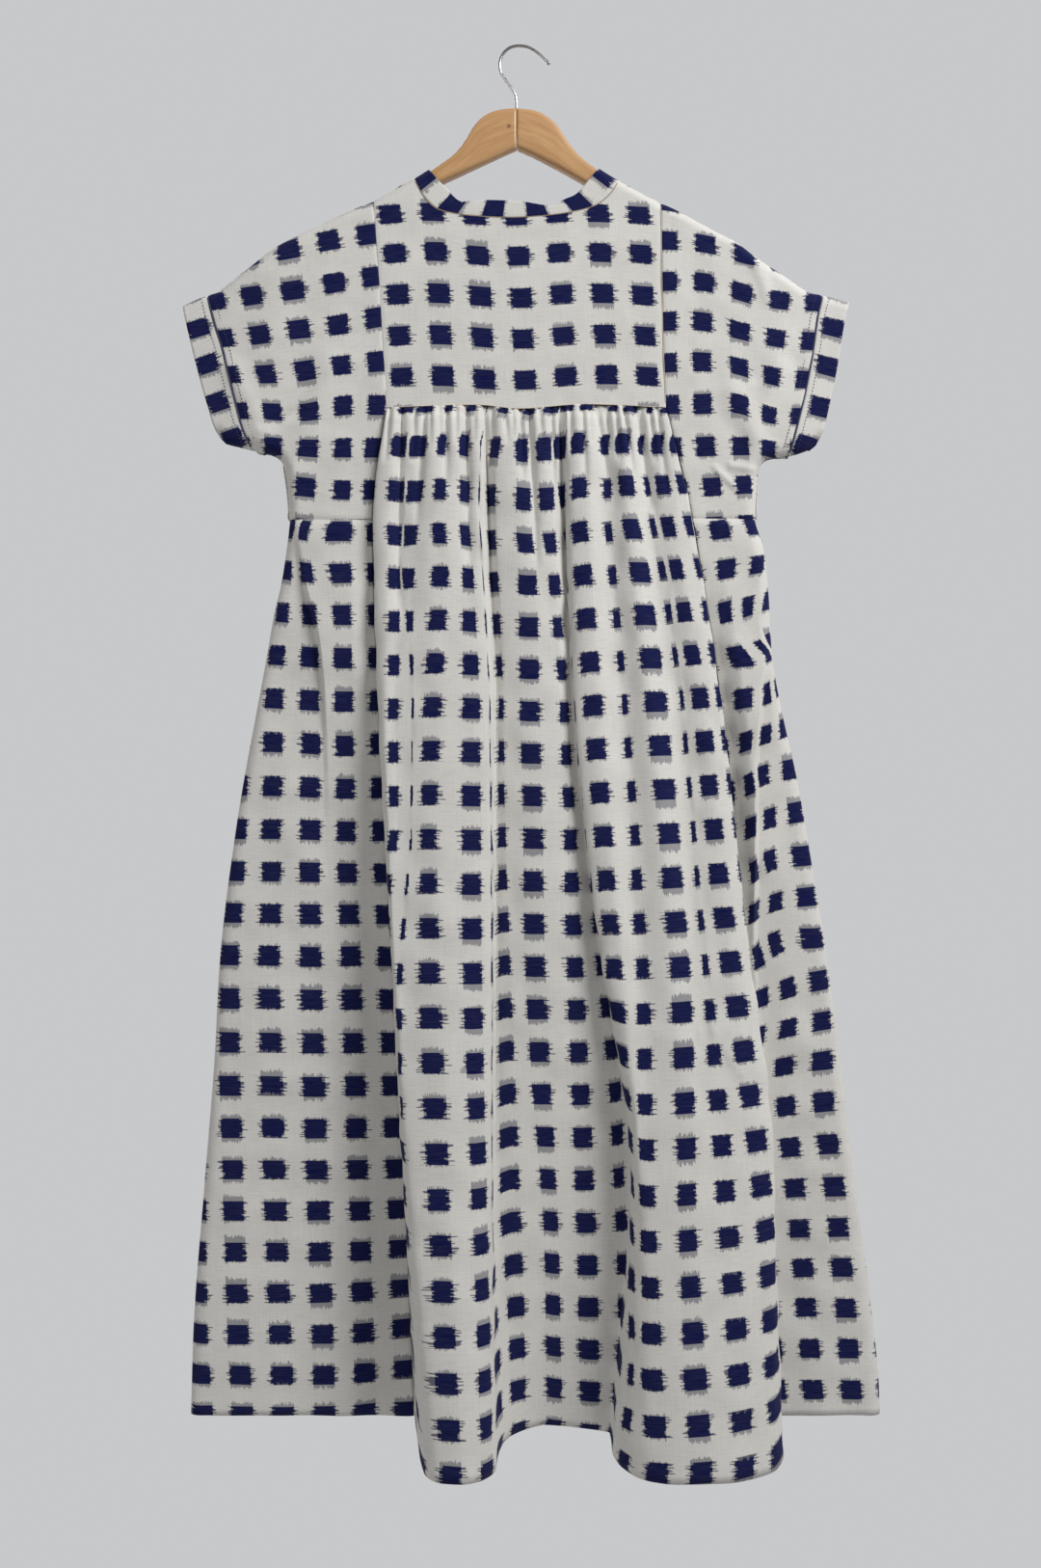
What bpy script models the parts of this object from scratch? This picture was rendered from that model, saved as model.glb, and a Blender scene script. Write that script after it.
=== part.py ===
"""A gathered ikat dress on a wooden hanger, seen from the dress's back.

Metres, +Z up. The viewer stands at -Y and sees the dress's back. The origin is the inside top of the
hook. Every table below is in millimetres: across is X, up is Z and out is how far a back piece stands
towards the viewer (-Y). Cloth is a wall whose outer face is laid on its four seams.
"""
import math

import bmesh
import bpy
import numpy as np

MM = 0.001

# Driving dimensions, in millimetres.
CLOTH = 1.2            # wall of the cloth
SEAM = 0.3             # gap between neighbouring pieces
CURVED_SEAM = 0.7      # the same where the seam is a tight curve, between the facets of both pieces
FOLD_SEAM = 0.9        # gap where a back and a front piece meet along the outline
NECK_SEAM = 1.0        # gap round the collar, whose corners are sharp
BODY_DEPTH = 12.0      # from the hanger's middle plane to the back's outer face
SLEEVE_DEPTH = 8.0     # the same at the cuffs
HEM_FRONT = 21.0       # the front skirt at the hem, on the far side
FRONT_WAVE = 3.0       # half height of its soft waves at the hem
WAVE_PITCH = 26.0      # across of one radian of a wave
CUFF_ACROSS = 296.0    # across where the sleeve reaches its own depth
BODY_ACROSS = 226.0    # across where it has the body's depth
RIDGE_REACH = 10.0     # how far the cloth rounds over the shoulders
SIDE_REACH = 12.0      # how far it rounds at the sides
YOKE_FOOT = -335.0
WAIST = -437.0
SIDE_HEM = -1260.0
RIDGE_HEM = -1288.0
HEM_DROP_OUT = (8.0, 88.0)  # out at the hem where it begins to hang lower, and is lowest
SIDE_TOP = -380.0      # where the outline below the sleeve begins

WOOD = 15.0            # thickness of the hanger's arms
JOINT = -2.5           # where the two arms meet
WIRE = 3.0             # diameter of the hook
HOLE = 3.6             # bore for the hook's shank
SHANK_FOOT = -84.0
BORE_TOP = -50.0       # above the arms, so that the cutter comes out of them
BORE_FOOT = -87.0
ARM_ROUNDING = 0.6     # power of the arm's section: 1 is an ellipse, less is squarer
TIP_THICKNESS = 0.55   # share of an arm's thickness that is left at its tip

GATHER_COLUMNS = 3     # grid columns from one gather to the next, which makes 26 gathers
GATHER_DEPTH = 1.4
GATHER_LENGTH = 70.0   # how far down the gathers reach
GATHER_ROOM = 3.2      # a gather on closer columns than this is shallower
GATHER_CROWDING = 1.5  # power of that
GATHER_UNEVEN = 0.2    # share of a gather's depth that varies from column to column
GATHER_BEAT = 1.7      # radians from one column to the next in that variation
SEAM_BLEND = 22.0      # how far from the panel a side skirt comes up to its own depth

# Top outline of the cloth from the left cuff over the hanger to the right cuff: across, up.
RIDGE = ((-310, -239), (-293, -231), (-277, -226), (-253, -207), (-224, -185), (-187, -166.5), (-142, -146.5),
         (-106, -127.5), (-84, -114), (-70, -105), (-40, -74), (0, -56), (38, -74), (62, -104), (75, -113.5),
         (91, -123.5), (108, -133), (130, -145), (152, -155), (181, -171), (199, -180), (217.5, -194),
         (241, -209.5), (267, -226), (281, -229.5), (304, -236))

# Side outlines from the cuff's foot round the underarm to the hem: across, up.
LEFT_SIDE = ((-278, -358), (-271, -366), (-255, -370), (-242, -374), (-226, -378), (-218, -386), (-215, -397),
             (-213, -417), (-212, -437), (-215.5, -469), (-220, -497), (-226, -522), (-233, -562),
             (-262, -725), (-277, -850), (-281, -928), (-290, -1042), (-301, -1188), (-303, -1260))
RIGHT_SIDE = ((276, -364), (261, -375), (247, -378), (230, -381), (222, -388), (219, -398), (218.5, -410),
              (218, -437), (225, -460), (230, -504), (233, -560), (241, -606), (257, -678), (269, -747),
              (287, -861), (298.5, -951), (311, -1054), (323, -1147), (332, -1233), (333, -1260))

# Where the sleeve ends and its band begins, and the band's outer edge: across, up, top to bottom.
LEFT_CUFF_SEAM = ((-287, -230), (-280, -257), (-273, -279), (-267, -303), (-261.5, -325), (-255, -350),
                  (-246, -372.5))
LEFT_CUFF_EDGE = ((-310, -239), (-305, -262), (-297, -295), (-287, -331), (-278, -358), (-271, -366))
RIGHT_CUFF_SEAM = ((279.5, -229.2), (274, -252), (270, -281), (263, -319), (256.5, -346), (252, -363),
                   (248, -378))
RIGHT_CUFF_EDGE = ((304, -236), (299, -256), (294, -288), (286, -328), (276, -364), (268, -371.5))

# Neckline seams and the band collar's upper edge, left shoulder to right shoulder: across, up.
BACK_NECK = ((-97, -122), (-93, -132.5), (-85, -145), (-73, -154), (-42, -159.5), (-8, -161), (26, -159),
             (66, -151.5), (82, -141), (90, -129), (91.5, -123.8))
BACK_COLLAR = ((-84, -114), (-80, -120), (-67, -134), (-52, -146.5), (-31, -145), (-1, -146), (26, -150),
               (33, -150.5), (39, -145.5), (51.5, -140), (60, -131), (69, -120), (75, -113.5))
FRONT_NECK = ((-97, -122), (-94, -150), (-82, -186), (-50, -213), (-3, -222), (46, -213), (77, -186),
              (88, -150), (91.5, -123.8))
FRONT_COLLAR = ((-84, -114), (-80, -140), (-69, -172), (-43, -196), (-3, -204), (38, -196), (62, -172),
                (71, -140), (75, -113.5))

# Yoke seams and the shoulders beside the neck: across, up.
LEFT_YOKE = ((-134, -143), (-130.5, -189), (-126, -260), (-122, -335))
RIGHT_YOKE = ((130, -145), (130.5, -190), (131.5, -260), (134.5, -335))
YOKE_SEAM = ((-122, -335), (-40, -332.5), (0, -336), (60, -332), (134.5, -335))
LEFT_SHOULDER = (-116, -133)
RIGHT_SHOULDER = (110, -134.2)

# The gathered panel: one row for each fold line, from the left seam to the right one. A row holds the
# grid columns up to the next fold line, then across and out at the six heights of HEIGHTS.
HEIGHTS = (-335, -440, -600, -800, -1030, -1290)
FOLDS = {
    "seam left": (2, (-121.7, -134, -129, -118, -105, -95), (12, 12, 11, 10, 9, 8)),
    "wall left": (2, (-121.2, -133.6, -128.8, -117.8, -104.8, -90), (13, 15.5, 20, 26, 34, 44)),
    "edge left": (4, (-120, -132.5, -128.5, -117, -103.5, -83), (14, 19, 27, 38, 52, 74)),
    "brow left": (4, (-113, -119, -120, -113, -98, -70), (16, 23, 34, 49, 66, 87)),
    "crease": (6, (-104, -105, -111, -106, -91, -61), (14, 20, 32.5, 49, 69, 89)),
    "ridge one": (6, (-78, -76, -74, -70, -64, -50), (17, 25, 37, 54, 72, 90)),
    "slope one": (4, (-50, -48, -44, -42, -40, -33), (16, 23, 35, 51, 67, 84)),
    "edge three": (2, (-33, -31, -25, -25, -26, -21), (14, 20, 31, 45, 58, 70)),
    "groove three": (3, (-30, -28, -21, -21, -22, -18), (11.5, 15, 22, 31, 41, 54)),
    "valley left": (6, (-23, -20, -12, -10, -8, -8), (14, 19, 26, 34, 38, 36)),
    "valley": (6, (5, 8, 12, 16, 24, 22), (16, 22, 30, 38, 36, 22)),
    "valley right": (3, (33, 33, 37, 54, 82, 64), (15, 20, 27, 34, 36, 28)),
    "foot four": (2, (41, 42, 48, 68, 99, 80), (11.5, 15, 21, 29, 37, 32)),
    "edge four": (4, (44, 44, 50, 69, 100, 82), (15, 22, 33, 48, 60, 52)),
    "ridge two": (4, (60, 62, 68, 86, 107, 98), (17, 25, 38, 55, 71, 75)),
    "narrow": (4, (79, 82, 93, 105, 115, 116), (13, 18.5, 31, 50, 73, 86)),
    "ridge three": (4, (95, 100, 116, 132, 143, 143), (17, 25, 39, 56, 75, 91)),
    "groove six": (4, (111, 120, 142, 158, 171, 173), (13, 18, 28, 47, 71, 89)),
    "ridge four": (4, (124, 141, 165, 184, 203, 206), (15, 21, 33, 48, 66, 80)),
    "edge right": (2, (132.5, 157, 182.5, 203.5, 227.5, 226), (13, 18, 27, 38, 53, 70)),
    "wall right": (2, (133.7, 158.3, 183.3, 203.4, 227.6, 236), (12.5, 15, 20, 26, 36, 52)),
    "seam right": (0, (134.2, 159, 184, 204, 228, 232), (12, 12, 11, 10, 9, 8)),
}

# Each side skirt is folded: a near layer beside the gathered panel and a far one at the outline.
# Columns: height, across of the fold, out of the near layer, out of the far layer.
LEFT_FOLD = ((-437, -207, 12, 12), (-494, -198, 15, 9), (-540, -186, 17, 8), (-584, -181, 15, 8),
             (-650, -178, 11, 9), (-760, -176, 9, 9), (-1260, -170, 8, 8))
RIGHT_FOLD = ((-437, 203, 12, 12), (-504, 214, 16, 16), (-572, 226, 21, 18), (-607, 222, 24, 11),
              (-674, 217, 26, 9), (-764, 217, 26, 9), (-834, 216, 24, 9), (-940, 224, 16, 9),
              (-1260, 234, 8, 8))
FOLD_WIDTH = 3.0

# Soft drape folds of the upper back: across and up of both ends, half width, out.
DRAPES = (
    ((-224, -384), (-262, -300), 10, 2.5),
    ((-206, -392), (-176, -300), 12, 2.5),
    ((226, -388), (196, -320), 11, 2.5),
    ((215, -360), (240, -300), 10, 2.0),
)

# Hanger arms: across, top, bottom. Both run from the joint to the tip.
LEFT_ARM = ((-2.65, -57.6, -94.5), (-12, -58, -98.5), (-20.5, -59.5, -102.5), (-29, -62.5, -106.5),
            (-37, -68.5, -110.2), (-42.5, -75, -112.7), (-48, -84.6, -115.2), (-54.5, -94, -118.2),
            (-62, -101.8, -121.5), (-70, -107.8, -125.2), (-80, -114.7, -130), (-95, -123.7, -138),
            (-120, -137.4, -151.5), (-142, -148.7, -162), (-170, -161.2, -174.5), (-195, -172.6, -185.5),
            (-212, -181.8, -193.5), (-217, -186.5, -192.5))
RIGHT_ARM = ((-2.35, -57.6, -94.5), (9.5, -58.7, -99.5), (19, -61.3, -104.2), (26, -65.5, -108),
             (33, -71, -111.5), (39.5, -80, -115), (46, -90, -118.5), (53, -99, -122.5),
             (61, -106.5, -127), (72, -114.5, -133), (91, -126, -143), (120, -142, -157.5),
             (145, -154.6, -170), (170, -167.6, -182), (195, -180.8, -194), (212, -192.4, -204),
             (217, -197.5, -203.5))

# Centre line of the hook from its free tip round to the shank: across, up.
HOOK = ((26.6, -14.1), (22, -9.6), (17.2, -5.2), (12, -1.6), (6.5, 0.8), (0, 1.5), (-6.8, 0.5), (-12.4, -2.9),
        (-16.4, -8.4), (-18.1, -15), (-17.7, -21), (-14.9, -27), (-9.8, -34), (-5.6, -40), (-3.2, -45.5),
        (-2.5, -51), (-2.5, -70), (-2.5, SHANK_FOOT))

# Rows and columns of the grids, as shares of a piece's width or height, closer where it curves more.
TOP_ROWS = (0, 0.002, 0.009, 0.022, 0.045, 0.08)
NECK_ENDS = (0, 0.006, 0.02, 0.042, 0.07)
SHOULDER_COLUMNS = (0, 0.35, 0.7, 0.92, 1)
YOKE_ROWS = TOP_ROWS + (0.2, 0.45, 0.72, 1)
BACK_SIDE_WAIST_COLUMNS = (0, 0.02, 0.06, 0.13, 0.25, 0.42, 0.6, 0.8, 1)
BACK_SIDE_ROWS = TOP_ROWS + (0.16, 0.3, 0.48, 0.66, 0.8, 0.89, 0.94, 0.97, 0.987, 0.996, 1)
FRONT_WAIST_ENDS = (0, 0.02, 0.06)
FRONT_WAIST_MIDDLE = 0.14
FRONT_BODICE_ROWS = TOP_ROWS + (0.2, 0.42, 0.66, 0.84, 0.93, 0.97, 0.99, 0.997, 1)
CUFF_ENDS = (0, 0.008, 0.03, 0.07)
BAND_ROWS = (0, 0.5, 1)
PANEL_ROWS = (0, 0.006, 0.018, 0.038, 0.066, 0.1, 0.145, 0.2, 0.27, 0.35, 0.44, 0.53, 0.62, 0.71, 0.8, 0.9, 1)
SIDE_SKIRT_ROWS = (0, 0.06, 0.12, 0.18, 0.24, 0.31, 0.39, 0.48, 0.58, 0.7, 0.85, 1)
FRONT_SKIRT_EDGE = (0, 0.0012, 0.006, 0.015, 0.03)

# Counts of columns and rows.
SHOULDER_COUNT = 13
NECK_COUNT = 13
RIDGE_COUNT = 20
UNDERARM_COUNT = 12
FRONT_UNDERARM_COUNT = 10
PANEL_SEAM_COUNT = 9
CUFF_COUNT = 6
FRONT_SKIRT_COLUMNS = 17
FRONT_SKIRT_ROWS = 10
OUTLINE_COUNT = 240
ARM_SIDES = 16

# A side skirt's columns, in millimetres from the outline and in widths of its fold.
SIDE_EDGE_COLUMNS = (0, 0.25, 1.2, 3.2, 6.5, SIDE_REACH)
FOLD_COLUMNS = (-1.2, -0.5, 0.5, 1.2)
NEAR_COLUMNS = 5

# The hook's places, as shares of its length: many round the bow, few down the straight shank.
HOOK_BOW = (0, 0.76, 30)
HOOK_SHANK = (0.8, 1, 4)

# A piece is far wider than deep, so its depth counts this much more where outside is told from inside.
DEPTH_WEIGHT = 40


def through(knots, values, at):
    """Values of a smooth curve through rising knots, which never swings past them."""
    knots, values, at = (np.asarray(v, float) for v in (knots, values, at))
    step = np.diff(knots)
    slope = np.diff(values) / step
    tangent = np.concatenate(([slope[0]], np.zeros(len(slope) - 1), [slope[-1]]))
    same = slope[:-1] * slope[1:] > 0
    both = slope[:-1] + slope[1:]
    tangent[1:-1][same] = 2 * (slope[:-1] * slope[1:])[same] / both[same]
    k = np.clip(np.searchsorted(knots, at) - 1, 0, len(step) - 1)
    t = (at - knots[k]) / step[k]
    return (
        (1 + 2 * t) * (1 - t) ** 2 * values[k]
        + t * (1 - t) ** 2 * step[k] * tangent[k]
        + t * t * (3 - 2 * t) * values[k + 1]
        + t * t * (t - 1) * step[k] * tangent[k + 1]
    )


def along(points, shares):
    """Places at the given shares of the length of a smooth curve through points."""
    points = np.asarray(points, float)
    knots = np.concatenate(([0], np.cumsum(np.linalg.norm(np.diff(points, axis=0), axis=1))))
    at = np.asarray(shares, float) * knots[-1]
    return np.stack([through(knots, points[:, i], at) for i in range(points.shape[1])], axis=-1)


def fine(points):
    return along(points, np.linspace(0, 1, OUTLINE_COUNT))


def distance(places, outline):
    """Shortest distance in the dress's plane from places (..., 2) to an outline."""
    start = outline[:-1]
    run = outline[1:] - start
    from_start = places[..., None, :] - start
    t = np.clip((from_start * run).sum(-1) / (run * run).sum(-1), 0, 1)
    return np.linalg.norm(from_start - t[..., None] * run, axis=-1).min(-1)


def rim(gone, reach):
    """Share of the full depth at a distance from the outline: a quarter round, then 1."""
    q = np.clip(gone / reach, 0, 1)
    return np.sqrt(1 - (1 - q) ** 2)


def ease(start, end, x):
    t = np.clip((x - start) / (end - start), 0, 1)
    return t * t * (3 - 2 * t)


def laid_on(upper, lower, first, last, columns, rows):
    """Grid (columns, rows, 2) of places between four rows of seam places that meet at the corners."""
    s, t = np.asarray(columns)[:, None, None], np.asarray(rows)[None, :, None]
    corners = (
        (1 - s) * (1 - t) * upper[0]
        + s * (1 - t) * upper[-1]
        + (1 - s) * t * lower[0]
        + s * t * lower[-1]
    )
    return (1 - t) * upper[:, None] + t * lower[:, None] + (1 - s) * first[None] + s * last[None] - corners


def joined(*stretches):
    """One row of places from stretches that share their end places."""
    return np.concatenate([stretches[0]] + [stretch[1:] for stretch in stretches[1:]])


def drape(places):
    """How far the soft folds of the upper back lift the cloth."""
    lift = np.zeros(places.shape[:-1])
    for start, end, width, out in DRAPES:
        gone = distance(places, np.array((start, end), float))
        lift += out * np.exp(-((gone / width) ** 2))
    return lift


def outlines_rim(places):
    """Rounding towards the shoulders and both sides, 0 at the outline and 1 inside."""
    sides = np.minimum(distance(places, fine(LEFT_SIDE)), distance(places, fine(RIGHT_SIDE)))
    return rim(distance(places, fine(RIDGE)), RIDGE_REACH) * rim(sides, SIDE_REACH)


def depth_at(x):
    """Full depth of the bodice's layers at x: the body's, then less along the sleeve."""
    return SLEEVE_DEPTH + (BODY_DEPTH - SLEEVE_DEPTH) * ease(CUFF_ACROSS, BODY_ACROSS, np.abs(x))


def back(places):
    """Puts places on the back layer of the bodice."""
    x = places[..., 0]
    out = np.maximum((depth_at(x) + drape(places)) * outlines_rim(places), FOLD_SEAM / 2)
    return np.stack([x, -out, places[..., 1]], axis=-1)


def front(places):
    """Puts places on the front layer, which flares evenly towards the hem."""
    x, z = places[..., 0], places[..., 1]
    wave = FRONT_WAVE * (np.cos(x / WAVE_PITCH) - 1)
    flare = ease(WAIST, SIDE_HEM, z) * (HEM_FRONT - BODY_DEPTH + wave)
    out = (depth_at(x) + flare) * outlines_rim(places)
    return np.stack([x, np.maximum(out, FOLD_SEAM / 2), z], axis=-1)


def folded_side(places, table):
    """Puts places on a side skirt: its near layer steps back to the far one at the fold."""
    x, z = places[..., 0], places[..., 1]
    heights, across, near, far = (np.array(column, float)[::-1] for column in zip(*table))
    inward = -np.sign(across[0])
    step = ease(-FOLD_WIDTH, FOLD_WIDTH, (x - through(heights, across, z)) * inward)
    out = through(heights, far, z) + step * (through(heights, near, z) - through(heights, far, z))
    seam = ease(0, SEAM_BLEND, np.abs(x - seam_line(z, inward)))
    out = panel_seam_out(z) + seam * (out - panel_seam_out(z))
    sides = np.minimum(distance(places, fine(LEFT_SIDE)), distance(places, fine(RIGHT_SIDE)))
    return np.stack([x, -np.maximum(out * rim(sides, SIDE_REACH), FOLD_SEAM / 2), z], axis=-1)


def seam_line(z, inward):
    """Across of the gathered panel's left seam (inward is 1) or right seam (inward is -1)."""
    return down("seam left" if inward > 0 else "seam right", 1, z)


def panel_seam_out(z):
    return down("seam left", 2, z)


def down(fold, part, z):
    """Across (part 1) or out (part 2) of a fold line at height z."""
    return through(HEIGHTS[::-1], FOLDS[fold][part][::-1], z)


def gathered(rows):
    """Grid of the gathered panel: sections through the fold lines, then small gathers on top."""
    steps = [row[0] for row in FOLDS.values()]
    starts = np.concatenate(([0], np.cumsum(steps[:-1])))
    columns = np.arange(starts[-1] + 1)
    hem_out = np.interp(columns, starts, [row[2][-1] for row in FOLDS.values()])
    foot = SIDE_HEM + (RIDGE_HEM - SIDE_HEM) * ease(*HEM_DROP_OUT, hem_out)
    grid = np.zeros((len(columns), len(rows), 3))
    for j, share in enumerate(rows):
        height = YOKE_FOOT - SEAM + share * (foot - YOKE_FOOT + SEAM)
        section = np.array([(down(fold, 1, z), down(fold, 2, z)) for fold, z in zip(FOLDS, height[starts])])
        chords = np.concatenate(([0], np.cumsum(np.linalg.norm(np.diff(section, axis=0), axis=1))))
        at = np.interp(columns, starts, chords)
        grid[:, j, 0] = through(chords, section[:, 0], at)
        grid[:, j, 1] = -through(chords, section[:, 1], at)
        grid[:, j, 2] = height
    return grid + gathers(grid)


def gathers(grid):
    """Small folds under the yoke's seam, of uneven depth, that fade downwards."""
    column = np.arange(grid.shape[0])
    wave = np.cos(2 * math.pi * column / GATHER_COLUMNS)
    uneven = 1 - GATHER_UNEVEN + GATHER_UNEVEN * np.sin(column * GATHER_BEAT)
    room = np.gradient(grid[:, 0, 0])
    uneven = uneven * np.clip(room / GATHER_ROOM, 0, 1) ** GATHER_CROWDING
    fade = np.exp(-((YOKE_FOOT - grid[:, :, 2]) / GATHER_LENGTH))
    lift = np.zeros_like(grid)
    lift[:, :, 1] = -GATHER_DEPTH * (wave * uneven)[:, None] * fade
    return lift


def pull_in(grid, left, right, top, bottom):
    """Moves each edge of a grid into the piece by its own half gap."""
    grid = grid.copy()
    for gap, edge, inner in (
        (left, (0, slice(None)), (1, slice(None))),
        (right, (-1, slice(None)), (-2, slice(None))),
        (top, (slice(None), 0), (slice(None), 1)),
        (bottom, (slice(None), -1), (slice(None), -2)),
    ):
        way = grid[inner] - grid[edge]
        length = np.linalg.norm(way, axis=-1, keepdims=True)
        grid[edge] += way / length * gap
    return grid


def collection(name):
    made = bpy.data.collections.new(name)
    bpy.context.scene.collection.children.link(made)
    return made


def material(name, colour, roughness, metallic=0.0):
    made = bpy.data.materials.new(name)
    made.use_nodes = True
    shader = made.node_tree.nodes["Principled BSDF"]
    shader.inputs["Base Color"].default_value = (*colour, 1)
    shader.inputs["Roughness"].default_value = roughness
    shader.inputs["Metallic"].default_value = metallic
    made.diffuse_color = (*colour, 1)
    return made


def show(name, mesh, where, look):
    """Links a mesh as the named piece."""
    piece = bpy.data.objects.new(name, mesh)
    mesh.materials.append(look)
    where.objects.link(piece)
    mesh.shade_smooth()
    return piece


def grid_mesh(name, outer, inner=None, closed=False):
    """Mesh of a grid of places in millimetres. A closed one is joined to itself across its columns.

    With inner places, the sheet is extruded and the new layer goes there, which makes a wall."""
    bm = bmesh.new()
    columns, rows = outer.shape[0] - 1, outer.shape[1] - 1
    bmesh.ops.create_grid(bm, x_segments=columns, y_segments=rows, size=0.5)
    column, row = bm.verts.layers.int.new("column"), bm.verts.layers.int.new("row")
    for vert in bm.verts:
        vert[column], vert[row] = round((vert.co.x + 0.5) * columns), round((vert.co.y + 0.5) * rows)
        vert.co = outer[vert[column], vert[row]] * MM
    if closed:
        bmesh.ops.remove_doubles(bm, verts=bm.verts, dist=0.00001)
    if inner is not None:
        sheet = bm.verts[:] + bm.edges[:] + bm.faces[:]
        made = bmesh.ops.extrude_face_region(bm, geom=sheet, use_keep_orig=True)
        for vert in made["geom"]:
            if isinstance(vert, bmesh.types.BMVert):
                vert.co = inner[vert[column], vert[row]] * MM
        bmesh.ops.recalc_face_normals(bm, faces=bm.faces)
    mesh = bpy.data.meshes.new(name)
    bm.to_mesh(mesh)
    bm.free()
    return mesh


def inner_face(outer, closed):
    """Places one cloth thickness inside a grid. Along the outline the cloth's edge stays upright."""
    if closed:
        around = np.concatenate((outer[-2:-1], outer, outer[1:2]))
        across = np.gradient(around, axis=0)[1:-1]
    else:
        across = np.gradient(outer, axis=0)
    normal = np.cross(across, np.gradient(outer, axis=1))
    centre = np.array((outer[..., 0].mean(), 0, outer[..., 2].mean()))
    away = outer - centre
    away[..., 1] *= DEPTH_WEIGHT
    if (normal * away).sum() < 0:
        normal = -normal
    normal[np.abs(outer[..., 1]) <= FOLD_SEAM / 2 + 0.01, 1] = 0
    return outer - CLOTH * normal / np.linalg.norm(normal, axis=-1, keepdims=True)


def cloth(name, outer, where, look, closed=False):
    """A piece of cloth: the grid is its outer face and the wall grows inwards."""
    return show(name, grid_mesh(name, outer, inner_face(outer, closed), closed), where, look)


def both_ends(count, edge):
    """Shares from 0 to 1 with close rows at both ends."""
    middle = np.linspace(edge[-1], 1 - edge[-1], count)
    return np.concatenate((edge[:-1], middle, 1 - np.array(edge[:-1])[::-1]))


def neck_shares():
    """Columns round half the neckline, shared by the collar and the pieces below it."""
    return both_ends(NECK_COUNT, NECK_ENDS)


def build_yoke(where, look):
    shoulder = np.array(SHOULDER_COLUMNS)
    upper = joined(
        along((LEFT_YOKE[0], LEFT_SHOULDER, BACK_NECK[0]), shoulder),
        along(BACK_NECK, neck_shares()),
        along((BACK_NECK[-1], RIGHT_SHOULDER, RIGHT_YOKE[0]), 1 - shoulder[::-1]),
    )
    columns = shares_of(upper)
    rows = np.array(YOKE_ROWS)
    lower = along(YOKE_SEAM, columns)
    places = laid_on(upper, lower, along(LEFT_YOKE, rows), along(RIGHT_YOKE, rows), columns, rows)
    half = SEAM / 2
    cloth("back_yoke", pull_in(back(places), half, half, half, half), where, look)


def build_back_side(side, where, look):
    left = side == "left"
    cuff = LEFT_CUFF_SEAM if left else RIGHT_CUFF_SEAM
    inward = 1 if left else -1
    below_yoke = np.linspace(YOKE_FOOT, WAIST, PANEL_SEAM_COUNT)[1:]
    beside_panel = [(seam_line(z, inward) - inward * SEAM, z) for z in below_yoke]
    yoke = [*(LEFT_YOKE if left else RIGHT_YOKE), *beside_panel]
    underarm = underarm_of(side)
    turned = np.linspace(0, 1, UNDERARM_COUNT)
    ridge = ridge_between(cuff[0][0], yoke[0][0])
    upper = along([cuff[0], *ridge, yoke[0]], np.linspace(0, 1, RIDGE_COUNT))
    lower = joined(
        along([cuff[-1], *underarm], turned),
        along([underarm[-1], yoke[-1]], BACK_SIDE_WAIST_COLUMNS),
    )
    columns = np.linspace(0, 1, len(upper))
    rows = np.array(BACK_SIDE_ROWS)
    places = laid_on(upper, lower, along(cuff, rows), along(yoke, rows), columns, rows)
    half = SEAM / 2
    cloth(f"back_side_{side}", pull_in(back(places), half, half, 0, half), where, look)


def underarm_of(side):
    """Side outline from the sleeve band's seam to the waist."""
    cuff = LEFT_CUFF_SEAM if side == "left" else RIGHT_CUFF_SEAM
    outline = LEFT_SIDE if side == "left" else RIGHT_SIDE
    return [p for p in outline if abs(p[0]) < abs(cuff[-1][0]) and WAIST <= p[1] < cuff[-1][1]]


def ridge_between(start, end):
    """Places of the top outline between two values of across, in the order asked for."""
    chosen = [p for p in RIDGE if min(start, end) < p[0] < max(start, end)]
    return chosen if start < end else chosen[::-1]


def shares_of(places):
    """Share of a chain's length at each of its places."""
    lengths = np.concatenate(([0], np.cumsum(np.linalg.norm(np.diff(places, axis=0), axis=1))))
    return lengths / lengths[-1]


def build_front_bodice(where, look):
    left, right = LEFT_CUFF_SEAM, RIGHT_CUFF_SEAM
    left_side, right_side = underarm_of("left"), underarm_of("right")[::-1]
    shoulder = np.linspace(0, 1, SHOULDER_COUNT)
    upper = joined(
        along([left[0], *ridge_between(left[0][0], FRONT_NECK[0][0]), FRONT_NECK[0]], shoulder),
        along(FRONT_NECK, neck_shares()),
        along([FRONT_NECK[-1], *ridge_between(FRONT_NECK[-1][0], right[0][0]), right[0]], shoulder),
    )
    turned = np.linspace(0, 1, FRONT_UNDERARM_COUNT)
    ends = np.array(FRONT_WAIST_ENDS)
    waist_count = len(upper) - 2 * (FRONT_UNDERARM_COUNT - 1) - 2 * len(ends)
    waist = np.linspace(FRONT_WAIST_MIDDLE, 1 - FRONT_WAIST_MIDDLE, waist_count)
    lower = joined(
        along([left[-1], *left_side], turned),
        along([left_side[-1], right_side[0]], np.concatenate((ends, waist, 1 - ends[::-1]))),
        along([*right_side, right[-1]], turned),
    )
    columns = np.linspace(0, 1, len(upper))
    rows = np.array(FRONT_BODICE_ROWS)
    places = laid_on(upper, lower, along(left, rows), along(right, rows), columns, rows)
    half = SEAM / 2
    cloth("front_bodice", pull_in(front(places), half, half, 0, half), where, look)


def ring(outer, inner, outer_front, inner_front, columns, rows):
    """Closed strip round an opening: along the back layer and then back along the front one."""
    def strip(first, second, surface):
        upper, lower = along(first, columns), along(second, columns)
        t = np.asarray(rows)[None, :, None]
        places = surface((1 - t) * upper[:, None] + t * lower[:, None])
        places[(0, -1), :, 1] = 0
        return places
    behind = strip(outer, inner, back)
    before = strip(outer_front, inner_front, front)[::-1]
    return np.concatenate((behind, before[1:]))


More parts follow.
